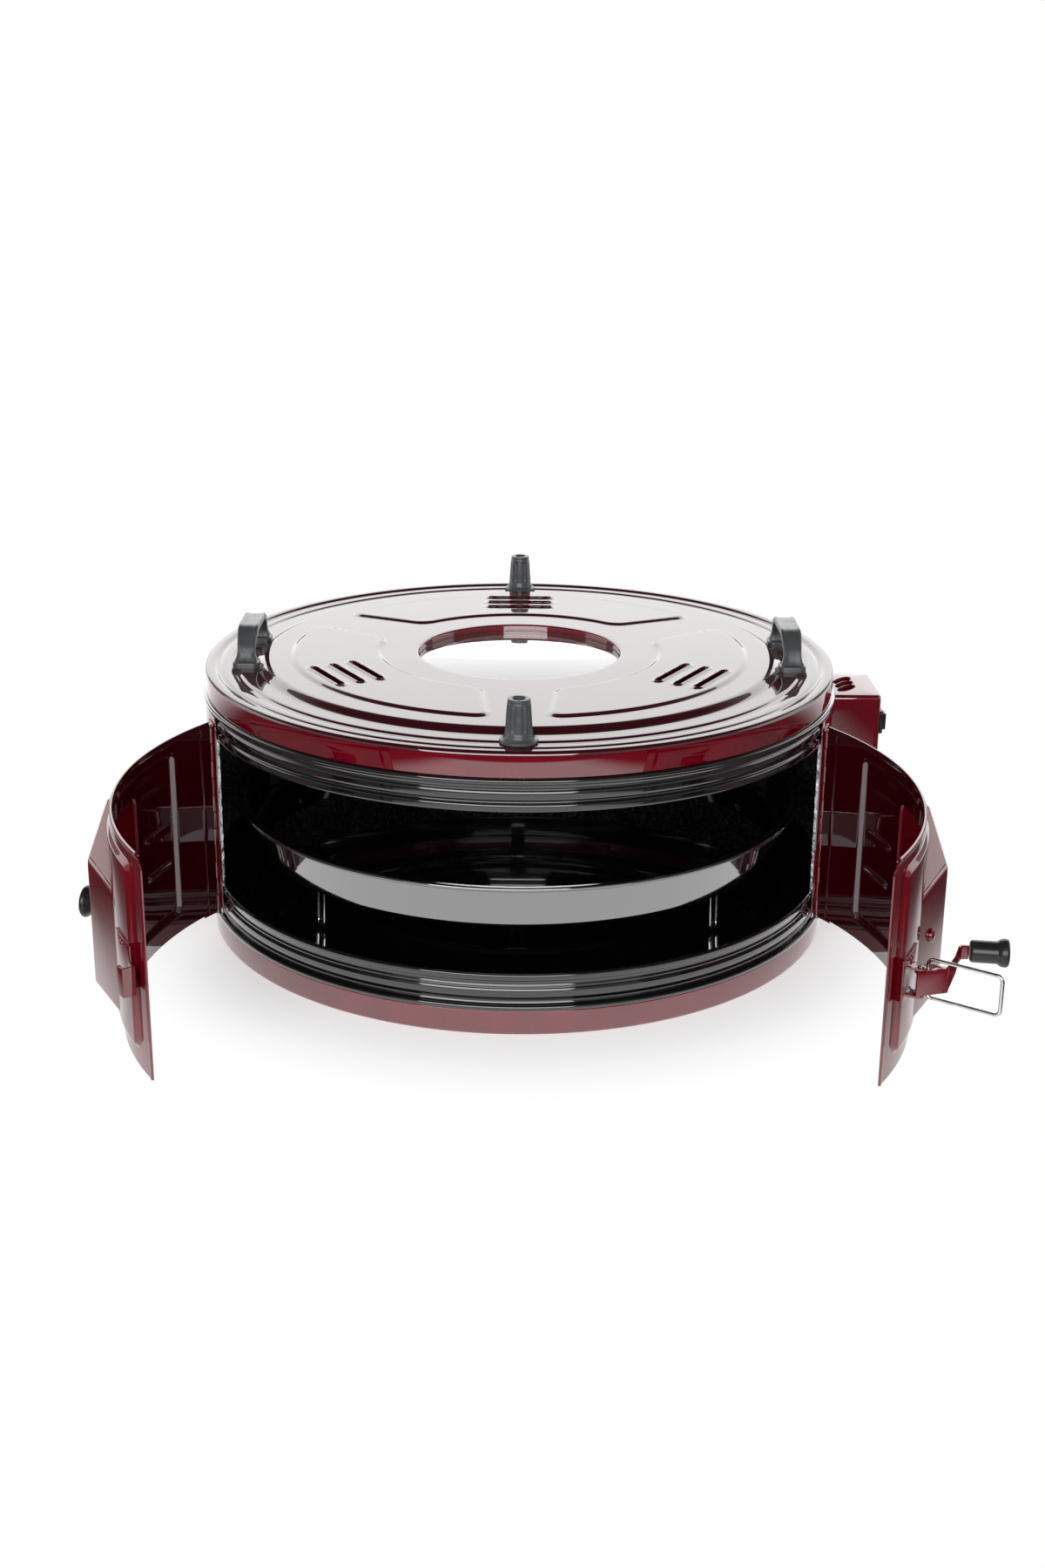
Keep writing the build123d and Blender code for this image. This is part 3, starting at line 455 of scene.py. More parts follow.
def sliced(bm, place, way, closed=True):
    """Takes away what lies past a plane, on the side that way points to."""
    whole = bm.verts[:] + bm.edges[:] + bm.faces[:]
    bmesh.ops.bisect_plane(bm, geom=whole, plane_co=place, plane_no=way, clear_outer=True)
    if closed:
        bmesh.ops.holes_fill(bm, edges=[edge for edge in bm.edges if edge.is_boundary], sides=0)
        bmesh.ops.recalc_face_normals(bm, faces=bm.faces)


def cut_away(bm, cutter_bm, name):
    """The bmesh with the cutter taken out of it, by an exact Boolean."""
    items = []
    for part, shape in (("blank", bm), ("cutter", cutter_bm)):
        data = bpy.data.meshes.new(name + "_" + part)
        shape.to_mesh(data)
        shape.free()
        items.append(bpy.data.objects.new(name + "_" + part, data))
        bpy.context.scene.collection.objects.link(items[-1])
    step = items[0].modifiers.new("cut", "BOOLEAN")
    step.operation = "DIFFERENCE"
    step.solver = "EXACT"
    step.object = items[1]
    bpy.context.view_layer.update()
    cut = items[0].evaluated_get(bpy.context.evaluated_depsgraph_get())
    result = bpy.data.meshes.new_from_object(cut)
    for item in items:
        bpy.data.objects.remove(item)
    made = bmesh.new()
    made.from_mesh(result)
    bpy.data.meshes.remove(result)
    return made


# %% Turning
def outline(corners):
    """A closed outline of (radius, height, corner cut), in millimetres, rounded by vertex bevels."""
    bm = bmesh.new()
    points = [bm.verts.new((radius * mm, 0, height * mm)) for radius, height, cut in corners]
    for pair in zip(points, points[1:] + points[:1]):
        bm.edges.new(pair)
    for cut in sorted({corner[2] for corner in corners if corner[2]}):
        picked = [point for point, corner in zip(points, corners) if corner[2] == cut]
        rounded(bm, picked, cut, 5, "VERTICES")
    return bm


def spin_about_z(bm, angle, steps, copies=False):
    """One spin of everything in the bmesh about the drum's axis."""
    bmesh.ops.spin(
        bm, geom=bm.verts[:] + bm.edges[:] + bm.faces[:], cent=(0, 0, 0), axis=(0, 0, 1), dvec=(0, 0, 0),
        angle=angle, steps=steps, use_merge=angle == math.tau, use_normal_flip=False, use_duplicate=copies,
    )


def spun(bm, steps, angle=math.tau):
    """Turns the outline about the drum's axis. A fine full turn is made as six copies of a sixth."""
    if angle == math.tau and steps % 6 == 0 and steps > 100:
        spin_about_z(bm, angle / 6, steps // 6)
        spin_about_z(bm, angle * 5 / 6, 5, copies=True)
    else:
        spin_about_z(bm, angle, steps)
    bmesh.ops.remove_doubles(bm, verts=bm.verts, dist=0.000002)
    bmesh.ops.delete(bm, geom=[edge for edge in bm.edges if edge.is_wire], context="EDGES")
    bmesh.ops.recalc_face_normals(bm, faces=bm.faces)
    return bm


# %% Placing and keeping
mirrored = Matrix.Scale(-1, 4, (1, 0, 0))


def moved(x, y, z):
    """Matrix of a move in millimetres."""
    return Matrix.Translation((x * mm, y * mm, z * mm))


def about(axis, angle):
    """Matrix of a turn about an axis of the frame, in degrees."""
    return Matrix.Rotation(math.radians(angle), 4, axis)


def placed(bm, *moves):
    """Moves the whole bmesh by each matrix in turn, and turns the faces back after a mirror."""
    for move in moves:
        bmesh.ops.transform(bm, matrix=move, verts=bm.verts)
        if move.determinant() < 0:
            bmesh.ops.reverse_faces(bm, faces=bm.faces[:])
    return bm


def added(bm, other):
    """Puts a copy of another bmesh into this one and frees the other."""
    data = bpy.data.meshes.new("part")
    other.to_mesh(data)
    other.free()
    bm.from_mesh(data)
    bpy.data.meshes.remove(data)
    return bm


def keep_piece(bm, name, body, finish, replaced, sharp=38):
    """Makes the bmesh an object that rides on its body and stands for its CAD nodes."""
    bmesh.ops.triangulate(bm, faces=[face for face in bm.faces if len(face.verts) > 4])
    bmesh.ops.dissolve_degenerate(bm, dist=0.000002, edges=bm.edges[:])
    if bm.calc_volume(signed=True) < 0:
        bmesh.ops.reverse_faces(bm, faces=bm.faces[:])
    data = bpy.data.meshes.new(name)
    bm.to_mesh(data)
    bm.free()
    data.polygons.foreach_set("use_smooth", [True] * len(data.polygons))
    data.set_sharp_from_angle(angle=math.radians(sharp))
    data.materials.append(finish)
    piece = bpy.data.objects.new(name, data)
    bpy.context.scene.collection.objects.link(piece)
    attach(piece, body)
    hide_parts(*replaced)
    print(name, "has", len(data.polygons), "faces")


def keep_pair(bm, name, body, finish, replaced, sharp=38):
    """Keeps the piece on the right, and its mirror image on the left."""
    other = placed(bm.copy(), mirrored)
    for side, shape in (("right_", bm), ("left_", other)):
        own_body = side + body if body == "door" else body
        keep_piece(shape, side + name, own_body, finish, [side + replaced], sharp)


print("helpers are ready")

# %% [markdown]
# ## Drum
# The base pan is a shallow red dish pressed from one disc. It could be a disc and a band, but one turned
# outline gives its foot, its rounded lower edge and its upright band together.

# %% Base pan
base_outline = outline(
    [
        (0, 0.4, 0), (188, 0.4, 0), (190, 0, 1), (199, 0, 2.6), (199, 15.3, 0.4), (198.2, 15.3, 0.3),
        (198.2, 1.2, 0), (0, 1.2, 0),
    ]
)
keep_piece(spun(base_outline, 360), "base_pressing", "drum", ruby, ["base_pan"])

# %% [markdown]
# The floor pan is deep-drawn steel: a flat floor with two pressed circles, a bead that the wall stands on
# and a ribbed rim inside the door opening. Its ribs are in the outline, because light runs along them.

# %% Floor pan
floor_outline = outline(
    [
        (0, 12.0, 0), (190.5, 12.0, 1), (193.5, 15.4, 1), (200, 15.4, 1.5), (200, 18.8, 1.5),
        (197.0, 19.0, 0.5), (196.2, 20.8, 0.9), (197.2, 22.6, 0.8), (197.7, 24.0, 1.0), (197.7, 27.4, 1.0),
        (196.5, 29.0, 0.5), (196.9, 29.6, 0.3), (196.2, 30.6, 0.8), (196.3, 32.6, 0.8), (197.7, 33.6, 1.2),
        (197.7, 37.2, 1.3), (194.8, 37.2, 1.2), (194.8, 17.4, 1.5), (189.8, 12.8, 1.5),
        (172.5, 12.8, 1.0), (170.5, 13.9, 1.0), (166.5, 13.9, 1.0), (164.5, 12.8, 1.0),
        (116.5, 12.8, 1.0), (114.5, 13.9, 1.0), (110.5, 13.9, 1.0), (108.5, 12.8, 1.0), (0, 12.8, 0),
    ]
)
keep_piece(spun(floor_outline, 360), "floor_pressing", "drum", enamel, ["floor_pan"])

# %% [markdown]
# The top ring is rolled from a strip. Three ribs and the bead under the lid stiffen the upper edge.

# %% Top ring
ring_outline = outline(
    [
        (194.8, 133.6, 0.6), (197.0, 133.6, 0.8), (197.7, 134.8, 0.6), (197.7, 138.0, 0.8),
        (196.2, 139.2, 0.8), (196.4, 140.2, 0.5), (197.7, 141.6, 1.2), (197.7, 145.6, 1.2),
        (196.2, 147.0, 0.7), (197.8, 148.2, 0.6), (198.4, 149.6, 0.5), (198.2, 150.3, 0.3),
        (200, 150.5, 1.2), (200, 153.6, 1.4), (194.8, 153.6, 0.8),
    ]
)
keep_piece(spun(ring_outline, 360), "ring_pressing", "drum", enamel, ["top_ring"])

# %% [markdown]
# The tray is a spun pan with a leaning wall and a flat rim. It stands a little forward of the middle.

# %% Tray
tray_outline = outline(
    [
        (0, 58.0, 0), (171.5, 58.0, 2.4), (175.0, 83.3, 0.6), (180.5, 83.0, 1.0), (180.5, 85.5, 1.0),
        (176.4, 85.5, 0.6), (175.2, 84.6, 0.5), (174.4, 84.6, 0.6), (170.9, 58.8, 2.4), (160, 58.8, 1),
        (158, 59.6, 1), (0, 59.6, 0),
    ]
)
tray_forward = moved(0, -8, 0)
tray_bm = placed(spun(tray_outline, 360), tray_forward)
keep_piece(tray_bm, "baking_tray", "tray_body", tray_enamel, ["tray"])

# %% [markdown]
# The heating element is a steel tube bent to a ring. Its section is a square, rounded to a circle.

# %% Heating element
element_corners = [(117.2, 138.7, 2.6), (122.8, 138.7, 2.6), (122.8, 144.3, 2.6), (117.2, 144.3, 2.6)]
element_bm = spun(outline(element_corners), 180)
keep_piece(element_bm, "element_tube", "drum", element_steel, ["upper_heating_element"])

# %% [markdown]
# The window is a round pane that lies on a flat rubber ring, inside the rim of the lid.

# %% Window
seal_corners = [(54.5, 163.4, 0.5), (63.9, 163.4, 0.3), (63.9, 164.9, 0.3), (54.5, 164.9, 0.5)]
seal_bm = spun(outline(seal_corners), 160)
keep_piece(seal_bm, "window_seal", "lid", grey_rubber, ["window_gasket"])
glass_outline = outline([(0, 164.9, 0), (63.9, 164.9, 0.5), (63.9, 167.0, 0.6), (0, 167.0, 0)])
keep_piece(spun(glass_outline, 160), "window_pane", "lid", window_clear, ["window_glass"])

# %% [markdown]
# ## Sheet walls
# The wall, its liner and the hinge leaves are sheet metal bent round the drum. Each is one outline, filled
# and spun through part of a turn, so the ends are closed and the curve is as smooth as its steps.


# %% Bent sheets
def bent(corners, first, last, step=0.75):
    """Spins a filled outline between two angles that are counted from the right side to the front."""
    bm = outline(corners)
    bmesh.ops.contextual_create(bm, geom=bm.edges[:], mat_nr=0, use_smooth=False)
    placed(bm, about("Z", forward * last))
    steps = max(2, round((last - first) / step))
    return spun(bm, steps, math.radians(last - first))


def plate(inner, outer, low, high, cut=0.25):
    """Corners of a plain upright sheet section, with its edges eased."""
    return [(inner, low, cut), (outer, low, cut), (outer, high, cut), (inner, high, cut)]


wall_bm = bent(plate(198.2, 199, 20.3, 148.7), -202.5, 22.5)
keep_piece(wall_bm, "wall_sheet", "drum", ruby, ["rear_wall"])
liner_bm = bent(plate(196.8, 197.4, 37.3, 133.5), -200.4, 20.4)
keep_piece(liner_bm, "liner_sheet", "drum", liner, ["rear_liner"])

# %% [markdown]
# ## Foil trims
# The two front edges of the wall are closed with thin bare aluminium, pressed round by hand, so it is
# crumpled. A fine bent plate is pushed about by noise, which a bump alone could not show at its edge. The
# noise takes its start from the clock unless it is given a seed.

# %% Foil trims
seed_set(7)
trim_start, trim_width = 20.45, 1.2
for side, first in enumerate((trim_start, 180 - trim_start - trim_width)):
    trim = bent(plate(196.0, 198.1, 37.4, 133.4, 0.3), first, first + trim_width, 0.2)
    trim_cuts = [edge for edge in trim.edges if abs(edge.verts[0].co.z - edge.verts[1].co.z) > 0.05]
    bmesh.ops.subdivide_edges(trim, edges=trim_cuts, cuts=70, use_grid_fill=True)
    for vert in trim.verts:
        push = noise_vector(vert.co * 330) * 0.00035 + noise_vector(vert.co * 900) * 0.0002
        vert.co += Vector((push.x, push.y, 0))
    bmesh.ops.recalc_face_normals(trim, faces=trim.faces)
    keep_piece(trim, "foil_trim_%d" % side, "drum", aluminium, ["edge_trims"], 60)

# %% [markdown]
# ## Piano hinges
# Each hinge is two leaves whose knuckles share one pin. A knuckle is a short tube, turned on its own axis
# and then moved to the hinge line. Rivets hold the leaves; leaves, knuckles and rivets are painted with the
# oven, and the pin is bare steel.

# %% Hinge line
hinge_angle, hinge_circle, open_angle = 22.5, 202.0, 56.2
hinge_line = about("Z", -hinge_angle) @ Vector((hinge_circle * mm, 0, 0))
to_hinge = Matrix.Translation(hinge_line) @ about("Z", -hinge_angle - 90)
opening = Matrix.Translation(hinge_line) @ about("Z", open_angle) @ Matrix.Translation(-hinge_line)


def block(centre, size, ease):
    """A box with eased edges, in millimetres."""
    bm = bmesh.new()
    bmesh.ops.create_cube(bm, size=1)
    bmesh.ops.scale(bm, vec=Vector(size) * mm, verts=bm.verts)
    bmesh.ops.translate(bm, verts=bm.verts, vec=Vector(centre) * mm)
    rounded(bm, bm.edges[:], ease, 3)
    return bm


def turned(corners, steps, *moves):
    """A closed outline turned about Z at the origin and then moved to its place."""
    return placed(spun(outline(corners), steps), *moves)


def rivet(radius, *moves):
    """A low domed rivet head."""
    dome = [(0, 0, 0), (1, 0, 0), (1, 0.2, 0.15), (0.55, 0.5, 0.2), (0, 0.55, 0)]
    return turned([tuple(radius * value for value in corner) for corner in dome], 20, *moves)


def out_at(radius, angle, height):
    """Matrix that puts Z outwards from the drum's axis at an angle, a radius and a height."""
    return about("Z", -angle) @ moved(radius, 0, height) @ about("Y", 90)


print("hinge line at", tuple(round(value, 4) for value in hinge_line))


# %% Leaves and pins
def leaf(owned, inner, side):
    """Leaf, knuckles, tabs and rivets of the right hinge, with its door closed."""
    near, far = math.degrees(2.8 / inner), math.degrees(13.8 / inner)
    first, last = sorted((hinge_angle + side * near, hinge_angle + side * far))
    bm = bent(plate(inner, inner + 0.9, 23, 144, 0.2), first, last, 0.5)
    for index in owned:
        low = 23.15 + index * 11
        tube = [(1.15, low, 0.15), (2.3, low, 0.3), (2.3, low + 10.7, 0.3), (1.15, low + 10.7, 0.15)]
        added(bm, turned(tube, 24, to_hinge))
        tab = block((side * 2.2, inner + 0.9 - hinge_circle, low + 5.35), (1.8, 1.8, 10.6), 0.2)
        added(bm, placed(tab, to_hinge))
    for height in (31, 57.5, 83.5, 109.5, 136):
        rivet_angle = hinge_angle + side * math.degrees(9 / inner)
        added(bm, rivet(2.0, out_at(inner + 0.85, rivet_angle, height)))
    return bm


pin_corners = [(0, 21.2, 0), (2.2, 21.2, 0.4), (2.2, 22.4, 0.3), (1.1, 22.4, 0), (1.1, 144.6, 0.4)]
pin_corners += [(0, 144.6, 0)]
for side, flip in (("right_", Matrix.Identity(4)), ("left_", mirrored)):
    wall_leaf = placed(leaf(range(0, 11, 2), 199.1, -1), flip)
    keep_piece(wall_leaf, side + "wall_leaf", "drum", ruby, [side + "wall_hinge_leaf"])
    door_leaf = placed(leaf(range(1, 11, 2), 200.2, 1), opening, flip)
    keep_piece(door_leaf, side + "door_leaf", side + "door", ruby, [side + "door_hinge_leaf"])
    pin = turned(pin_corners, 24, to_hinge, flip)
    keep_piece(pin, side + "pin", "drum", pin_steel, [side + "hinge_pin"])

# %% [markdown]
# ## Doors
# A door is one curved sheet with a pressed field, two short ribs and two openings into its housing. The
# sheet is drawn flat, where its openings are rounded rectangles, and then bent round the drum with the
# pressed forms added as a rule of height. The upper opening has a slanted corner, under the slope of the
# housing. The inner faces are marked for a painted shade. The left door is the right door mirrored.


# %% Blocks to cut with
def rounded_block(centre, size, corner, depth, segments=6):
    """An upright prism on a rounded rectangle, in millimetres: centre and size are in plan."""
    bm = bmesh.new()
    bmesh.ops.create_grid(bm, x_segments=1, y_segments=1, size=0.5)
    bmesh.ops.scale(bm, vec=(size[0] * mm, size[1] * mm, 1), verts=bm.verts)
    rounded(bm, bm.verts[:], corner, segments, "VERTICES")
    raised(bm, depth[1] - depth[0])
    return placed(bm, moved(*centre, depth[0]))


def drum_core(radius):
    """A tall solid drum, for taking away what would reach into the oven."""
    return spun(outline([(0, 30, 0), (radius, 30, 0), (radius, 150, 0), (0, 150, 0)]), 720)


# %% Door pressing
door_radius, door_start, door_end = 199.3, 23.35, 89.8
door_low, door_high = 25.0, 147.5
arc = math.radians(door_radius)


def soft_step(value, low, high):
    """0 below low, 1 above high, smooth between."""
    share = np.clip((value - low) / (high - low), 0, 1)
    return share * share * (3 - 2 * share)


def box_distance(x, y, left, right, low, high, corner):
    """Signed distance to a rounded rectangle, negative inside it."""
    across = np.abs(x - (left + right) / 2) - (right - left) / 2 + corner
    up = np.abs(y - (low + high) / 2) - (high - low) / 2 + corner
    outside = np.hypot(np.maximum(across, 0), np.maximum(up, 0))
    return outside + np.minimum(np.maximum(across, up), 0) - corner


def door_press(x, y):
    """How far pressing moves the flat door outwards: x is the arc length and y the height."""
    field = box_distance(x, y, 33.2 * arc, 85.8 * arc, 35.7, 139.3, 6)
    rise = 2.6 * (1 - soft_step(field, -2.9, 0.2))
    rise -= 0.6 * np.exp(-((x - 25.6 * arc) / 0.5) ** 2)
    edge = np.minimum(door_end * arc - x, door_high - y)
    rise += 0.7 * np.exp(-((edge - 1.2) / 0.9) ** 2)
    for height in (70, 93):
        rib = box_distance(x, y, 34.6 * arc, 43.0 * arc, height - 1.6, height + 1.6, 1.6)
        rise -= 1.7 * (1 - soft_step(rib, -1.3, 0.6))
    return rise


sheet_thickness = 0.8
middle = ((door_start + door_end) / 2 * arc, (door_low + door_high) / 2, 0)
sheet_bm = bmesh.new()
bmesh.ops.create_grid(sheet_bm, x_segments=230, y_segments=120, size=0.5)
sheet_size = ((door_end - door_start) * arc * mm, (door_high - door_low) * mm, 1)
bmesh.ops.scale(sheet_bm, vec=sheet_size, verts=sheet_bm.verts)
raised(sheet_bm, sheet_thickness)
placed(sheet_bm, moved(*middle))
pockets = rounded_block((59.5 * arc, 63), (27 * arc, 34), 5, (-3, 4))
upper = rounded_block((59.5 * arc, 106.5), (27 * arc, 39), 5, (-3, 4))
slant_place = Vector((61.9 * arc * mm, 126 * mm, 0))
slant = Vector((17.1, 38.6, 0)).normalized()
sliced(upper, slant_place, slant)
slant_ends = []
for edge in upper.edges:
    on_slant = all(abs((vert.co - slant_place).dot(slant)) < 0.00001 for vert in edge.verts)
    if on_slant and abs(edge.verts[0].co.z - edge.verts[1].co.z) > mm:
        slant_ends.append(edge)
rounded(upper, slant_ends, 3.5, 5, clamp=True)
bmesh.ops.recalc_face_normals(upper, faces=upper.faces)
added(pockets, upper)
print("upper pocket:", len(slant_ends), "slanted corners rounded")
door_bm = cut_away(sheet_bm, pockets, "door")
flat = np.array([vert.co for vert in door_bm.verts]) / mm
free_corner = 8.0
corner_in = np.maximum(free_corner - (door_end * arc - flat[:, 0]), 0)
corner_up = np.maximum(free_corner - (door_high - flat[:, 1]), 0)
reach = np.hypot(corner_in, corner_up)
shrink = np.where(reach > 0, np.maximum(corner_in, corner_up) / np.maximum(reach, 1e-9), 1)
flat[:, 0] += corner_in * (shrink - 1)
flat[:, 1] += corner_up * (shrink - 1)
radii = door_radius + flat[:, 2] + door_press(flat[:, 0], flat[:, 1])
turns = forward * flat[:, 0] / door_radius
for vert, x, y, z in zip(door_bm.verts, radii * np.cos(turns), radii * np.sin(turns), flat[:, 1]):
    vert.co = (x * mm, y * mm, z * mm)
bmesh.ops.recalc_face_normals(door_bm, faces=door_bm.faces)
# The inner faces are marked, so that the paint makes them darker, as painted shade.
inside = door_bm.faces.layers.float.new("inside")
door_bm.verts.index_update()
for face in door_bm.faces:
    face[inside] = float(all(flat[vert.index][2] < sheet_thickness / 2 for vert in face.verts))
keep_pair(placed(door_bm, opening), "door_sheet", "door", ruby, "door_panel", 50)

# %% [markdown]
# ## Door housings
# Over the openings sits a deep pressed box with a flat front, a sloped top and soft bends. A polygon is
# extruded, one plane cuts its slope, bevels make the bends, and a smaller copy is taken out of it.


# %% Housing
def on_circle(radius, angle):
    """Plan point in metres at a radius and an angle counted from the right side to the front."""
    turn = math.radians(forward * angle)
    return Vector((radius * math.cos(turn), radius * math.sin(turn), 0)) * mm


field_radius, housing_low, housing_height, slope_start = 202.7, 39, 99, -193.4
housing_back, housing_side = on_circle(field_radius, 44.5), on_circle(field_radius, 75.5)
housing_corner = on_circle(215.6, 63.5)


def housing_block(wall, bend):
    """The housing as a closed block, smaller by wall, with bends of the given size."""
    bm = bmesh.new()
    plan = [housing_back, housing_corner, housing_side, on_circle(185, 75.5), on_circle(185, 44.5)]
    face = bm.faces.new([bm.verts.new(point) for point in plan])
    if wall:
        bm.normal_update()
        bmesh.ops.inset_region(
            bm, faces=[face], thickness=wall * mm, use_even_offset=True, use_boundary=True
        )
        bmesh.ops.delete(bm, geom=[other for other in bm.faces if other is not face], context="FACES")
    placed(bm, moved(0, 0, housing_low + wall))
    raised(bm, housing_height - 2 * wall)
    sliced(bm, (0, (slope_start + wall) * mm, 0.112), (0, -25, 20))
    bends = []
    for edge in bm.edges:
        first, second = (vert.co.xy.length for vert in edge.verts)
        upright = (edge.verts[0].co - edge.verts[1].co).xy.length < 0.0001
        if (first + second) / 2 > 0.2 and not (upright and first < 0.205):
            bends.append(edge)
    rounded(bm, bends, bend, 5, clamp=True)
    return bm


housing_bm = cut_away(housing_block(0, 4.0), housing_block(1.0, 3.0), "housing")
housing_bm = cut_away(housing_bm, drum_core(field_radius + 0.02), "housing_core")
keep_pair(placed(housing_bm, opening), "housing_box", "door", ruby, "door_housing", 30)

# %% [markdown]
# ## Turned fittings
# The knob, the grip and the screw are turned shapes on slanted axes. Each is turned upright at the origin
# and then carried to the axis of its CAD node, which is measured on that node's own points.


# %% Turned fittings
def node_axis(node, way):
    """Matrix that carries Z to the given direction, from the low end of the CAD node's axis."""
    ahead = Vector(way).normalized()
    across = ahead.cross(Vector((0, 0, 1))).normalized()
    over = ahead.cross(across)
    points = np.zeros(len(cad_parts[node].data.vertices) * 3)
    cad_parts[node].data.vertices.foreach_get("co", points)
    points = points.reshape(-1, 3)
    lows = [float((points @ np.array(axis)).min()) for axis in (across, over, ahead)]
    highs = [float((points @ np.array(axis)).max()) for axis in (across, over, ahead)]
    start = across * (lows[0] + highs[0]) / 2 + over * (lows[1] + highs[1]) / 2 + ahead * lows[2]
    print(node, "is", round(highs[2] - lows[2], 4), "m long")
    return Matrix.Translation(start) @ Matrix((across, over, ahead)).transposed().to_4x4()


def square_out(first, second):
    """Outward normal of the plan line between two points."""
    run = second - first
    return Vector((-run.y, run.x, 0)).normalized()


turn_open = about("Z", open_angle)
knob_way = mirrored @ turn_open @ square_out(housing_back, housing_corner)
screw_way = turn_open @ square_out(housing_corner, housing_side)
knob_corners = [(0, 0, 0), (6.6, 0, 0.4), (6.4, 1.2, 0.4), (5.3, 2.4, 1.0), (5.4, 6.2, 1.5)]
knob_corners += [(8.7, 10.6, 0.8), (9.0, 11.6, 0.6), (8.7, 12.9, 0.8), (6.2, 12.9, 0.5)]
knob_corners += [(5.6, 12.3, 0.5), (0, 12.1, 0)]
knob = turned(knob_corners, 64, node_axis("left_door_knob", knob_way))
keep_piece(knob, "turned_knob", "left_door", satin_black, ["left_door_knob"])
grip_corners = [(0, 0.3, 0), (4.9, 0.3, 0.6), (5.8, 1.4, 0.5), (5.8, 13.6, 0.6), (6.1, 14.4, 0.4)]
grip_corners += [(7.2, 15.8, 0.8), (7.4, 17.6, 0.8), (7.2, 19.6, 1.2), (4.0, 20.0, 1.5), (0, 20.0, 0)]
grip_turn = math.radians(-7.8)
grip = turned(grip_corners, 64, node_axis("lever_grip", (math.cos(grip_turn), math.sin(grip_turn), 0)))
keep_piece(grip, "lever_handle_grip", "lever", satin_black, ["lever_grip"])
screw_corners = [(0, 0, 0), (3.9, 0, 0.2), (3.9, 1.1, 0.4), (3.5, 1.2, 0.2), (3.3, 1.3, 0.1)]
screw_corners += [(3.2, 1.8, 0.5), (0, 2.1, 0)]
screw = turned(screw_corners, 48)
for size, depth in (((3.6, 0.8), (1.2, 3)), ((0.8, 3.6), (1.25, 3))):
    screw = cut_away(screw, rounded_block((0, 0), size, 0.1, depth, 1), "screw")
placed(screw, node_axis("housing_screw", screw_way))
keep_piece(screw, "cross_head_screw", "right_door", ruby, ["housing_screw"], 30)

# %% [markdown]
# ## Latch
# The latch is an over-centre wire latch: a pressed lever turns on a base, and a wire bail in the lever
# hooks over the catch on the other door. The CAD forms are right, so the pressed pieces are those forms
# with their edges eased. The bail is a round wire swept along its route.


# %% Eased CAD pieces
def eased(node, name, body, finish, size, extra=None):
    """A copy of a CAD node's mesh with its flat faces joined and its sharp edges eased."""
    bm = bmesh.new()
    bm.from_mesh(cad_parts[node].data)
    bmesh.ops.remove_doubles(bm, verts=bm.verts, dist=0.000002)
    bmesh.ops.dissolve_limit(bm, angle_limit=math.radians(1), verts=bm.verts[:], edges=bm.edges[:])
    steep = math.radians(35)
    bends = [edge for edge in bm.edges if edge.is_manifold and edge.calc_face_angle(0) > steep]
    rounded(bm, bends, size, 3, clamp=True)
    if extra:
        added(bm, extra)
    keep_piece(bm, name, body, finish, [node], 30)


base_rivets = rivet(2.0, out_at(203.7, 82.2, 69), opening)
added(base_rivets, rivet(2.0, out_at(203.7, 82.2, 87), opening))
catch_rivets = rivet(2.0, out_at(203.7, 82.0, 91.5), opening, mirrored)
added(catch_rivets, rivet(1.6, out_at(203.7, 79.8, 74), opening, mirrored))
eased("latch_lever", "pressed_lever", "lever", ruby, 0.35)
eased("latch_base", "latch_bracket", "right_door", ruby, 0.3, base_rivets)
eased("door_catch", "hook_catch", "left_door", ruby, 0.3, catch_rivets)
eased("element_hangers", "element_brackets", "drum", enamel, 0.3)
eased("switch_bezel", "switch_frame", "drum", switch_black, 0.35)
eased("switch_rocker", "rocker_cap", "rocker", switch_black, 0.5)
eased("cord_gland", "cord_bushing", "drum", satin_black, 0.5)

# %% [markdown]
# A wire is drawn as a line through its corners, whose bends come from a vertex bevel. One face, drawn flat
# at the origin, is then carried along the line and extruded at each point. This also makes the handles.


# %% Wires
def route(corners, bend, segments=6):
    """Points in metres of a wire through the corners, each corner rounded by a vertex bevel."""
    bm = bmesh.new()
    points = [bm.verts.new(Vector(corner) * mm) for corner in corners]
    for pair in zip(points, points[1:]):
        bm.edges.new(pair)
    rounded(bm, points[1:-1], bend, segments, "VERTICES")
    start = Vector(corners[0]) * mm
    here = min(bm.verts, key=lambda vert: (vert.co - start).length)
    path, passed = [here.co.copy()], {here}
    while True:
        beside = [edge.other_vert(here) for edge in here.link_edges]
        ahead = [vert for vert in beside if vert not in passed]
        if not ahead:
            bm.free()
            return path
        here = ahead[0]
        passed.add(here)
        path.append(here.co.copy())


def swept(bm, path, across, scales=None):
    """Extrudes the bmesh's one face, drawn flat at the origin, along a path that lies in one plane."""
    across = Vector(across).normalized()
    tip, last = bm.faces[:], Matrix.Identity(4)
    for index, place in enumerate(path):
        ahead = (path[min(index + 1, len(path) - 1)] - path[max(index - 1, 0)]).normalized()
        turn = Matrix((across, ahead.cross(across), ahead)).transposed().to_4x4()
        here = Matrix.Translation(place) @ turn
        if scales:
            here = here @ Matrix.Diagonal((*scales[index], 1, 1))
        if index:
            made = bmesh.ops.extrude_face_region(bm, geom=tip)
            inside = [face for face in tip if index > 1 and face.is_valid]
            bmesh.ops.delete(bm, geom=inside, context="FACES_ONLY")
            tip = [item for item in made["geom"] if isinstance(item, bmesh.types.BMFace)]
        moving = list({vert for face in tip for vert in face.verts})
        bmesh.ops.transform(bm, matrix=here @ last.inverted(), verts=moving)
        last = here
    bmesh.ops.recalc_face_normals(bm, faces=bm.faces)
    return bm


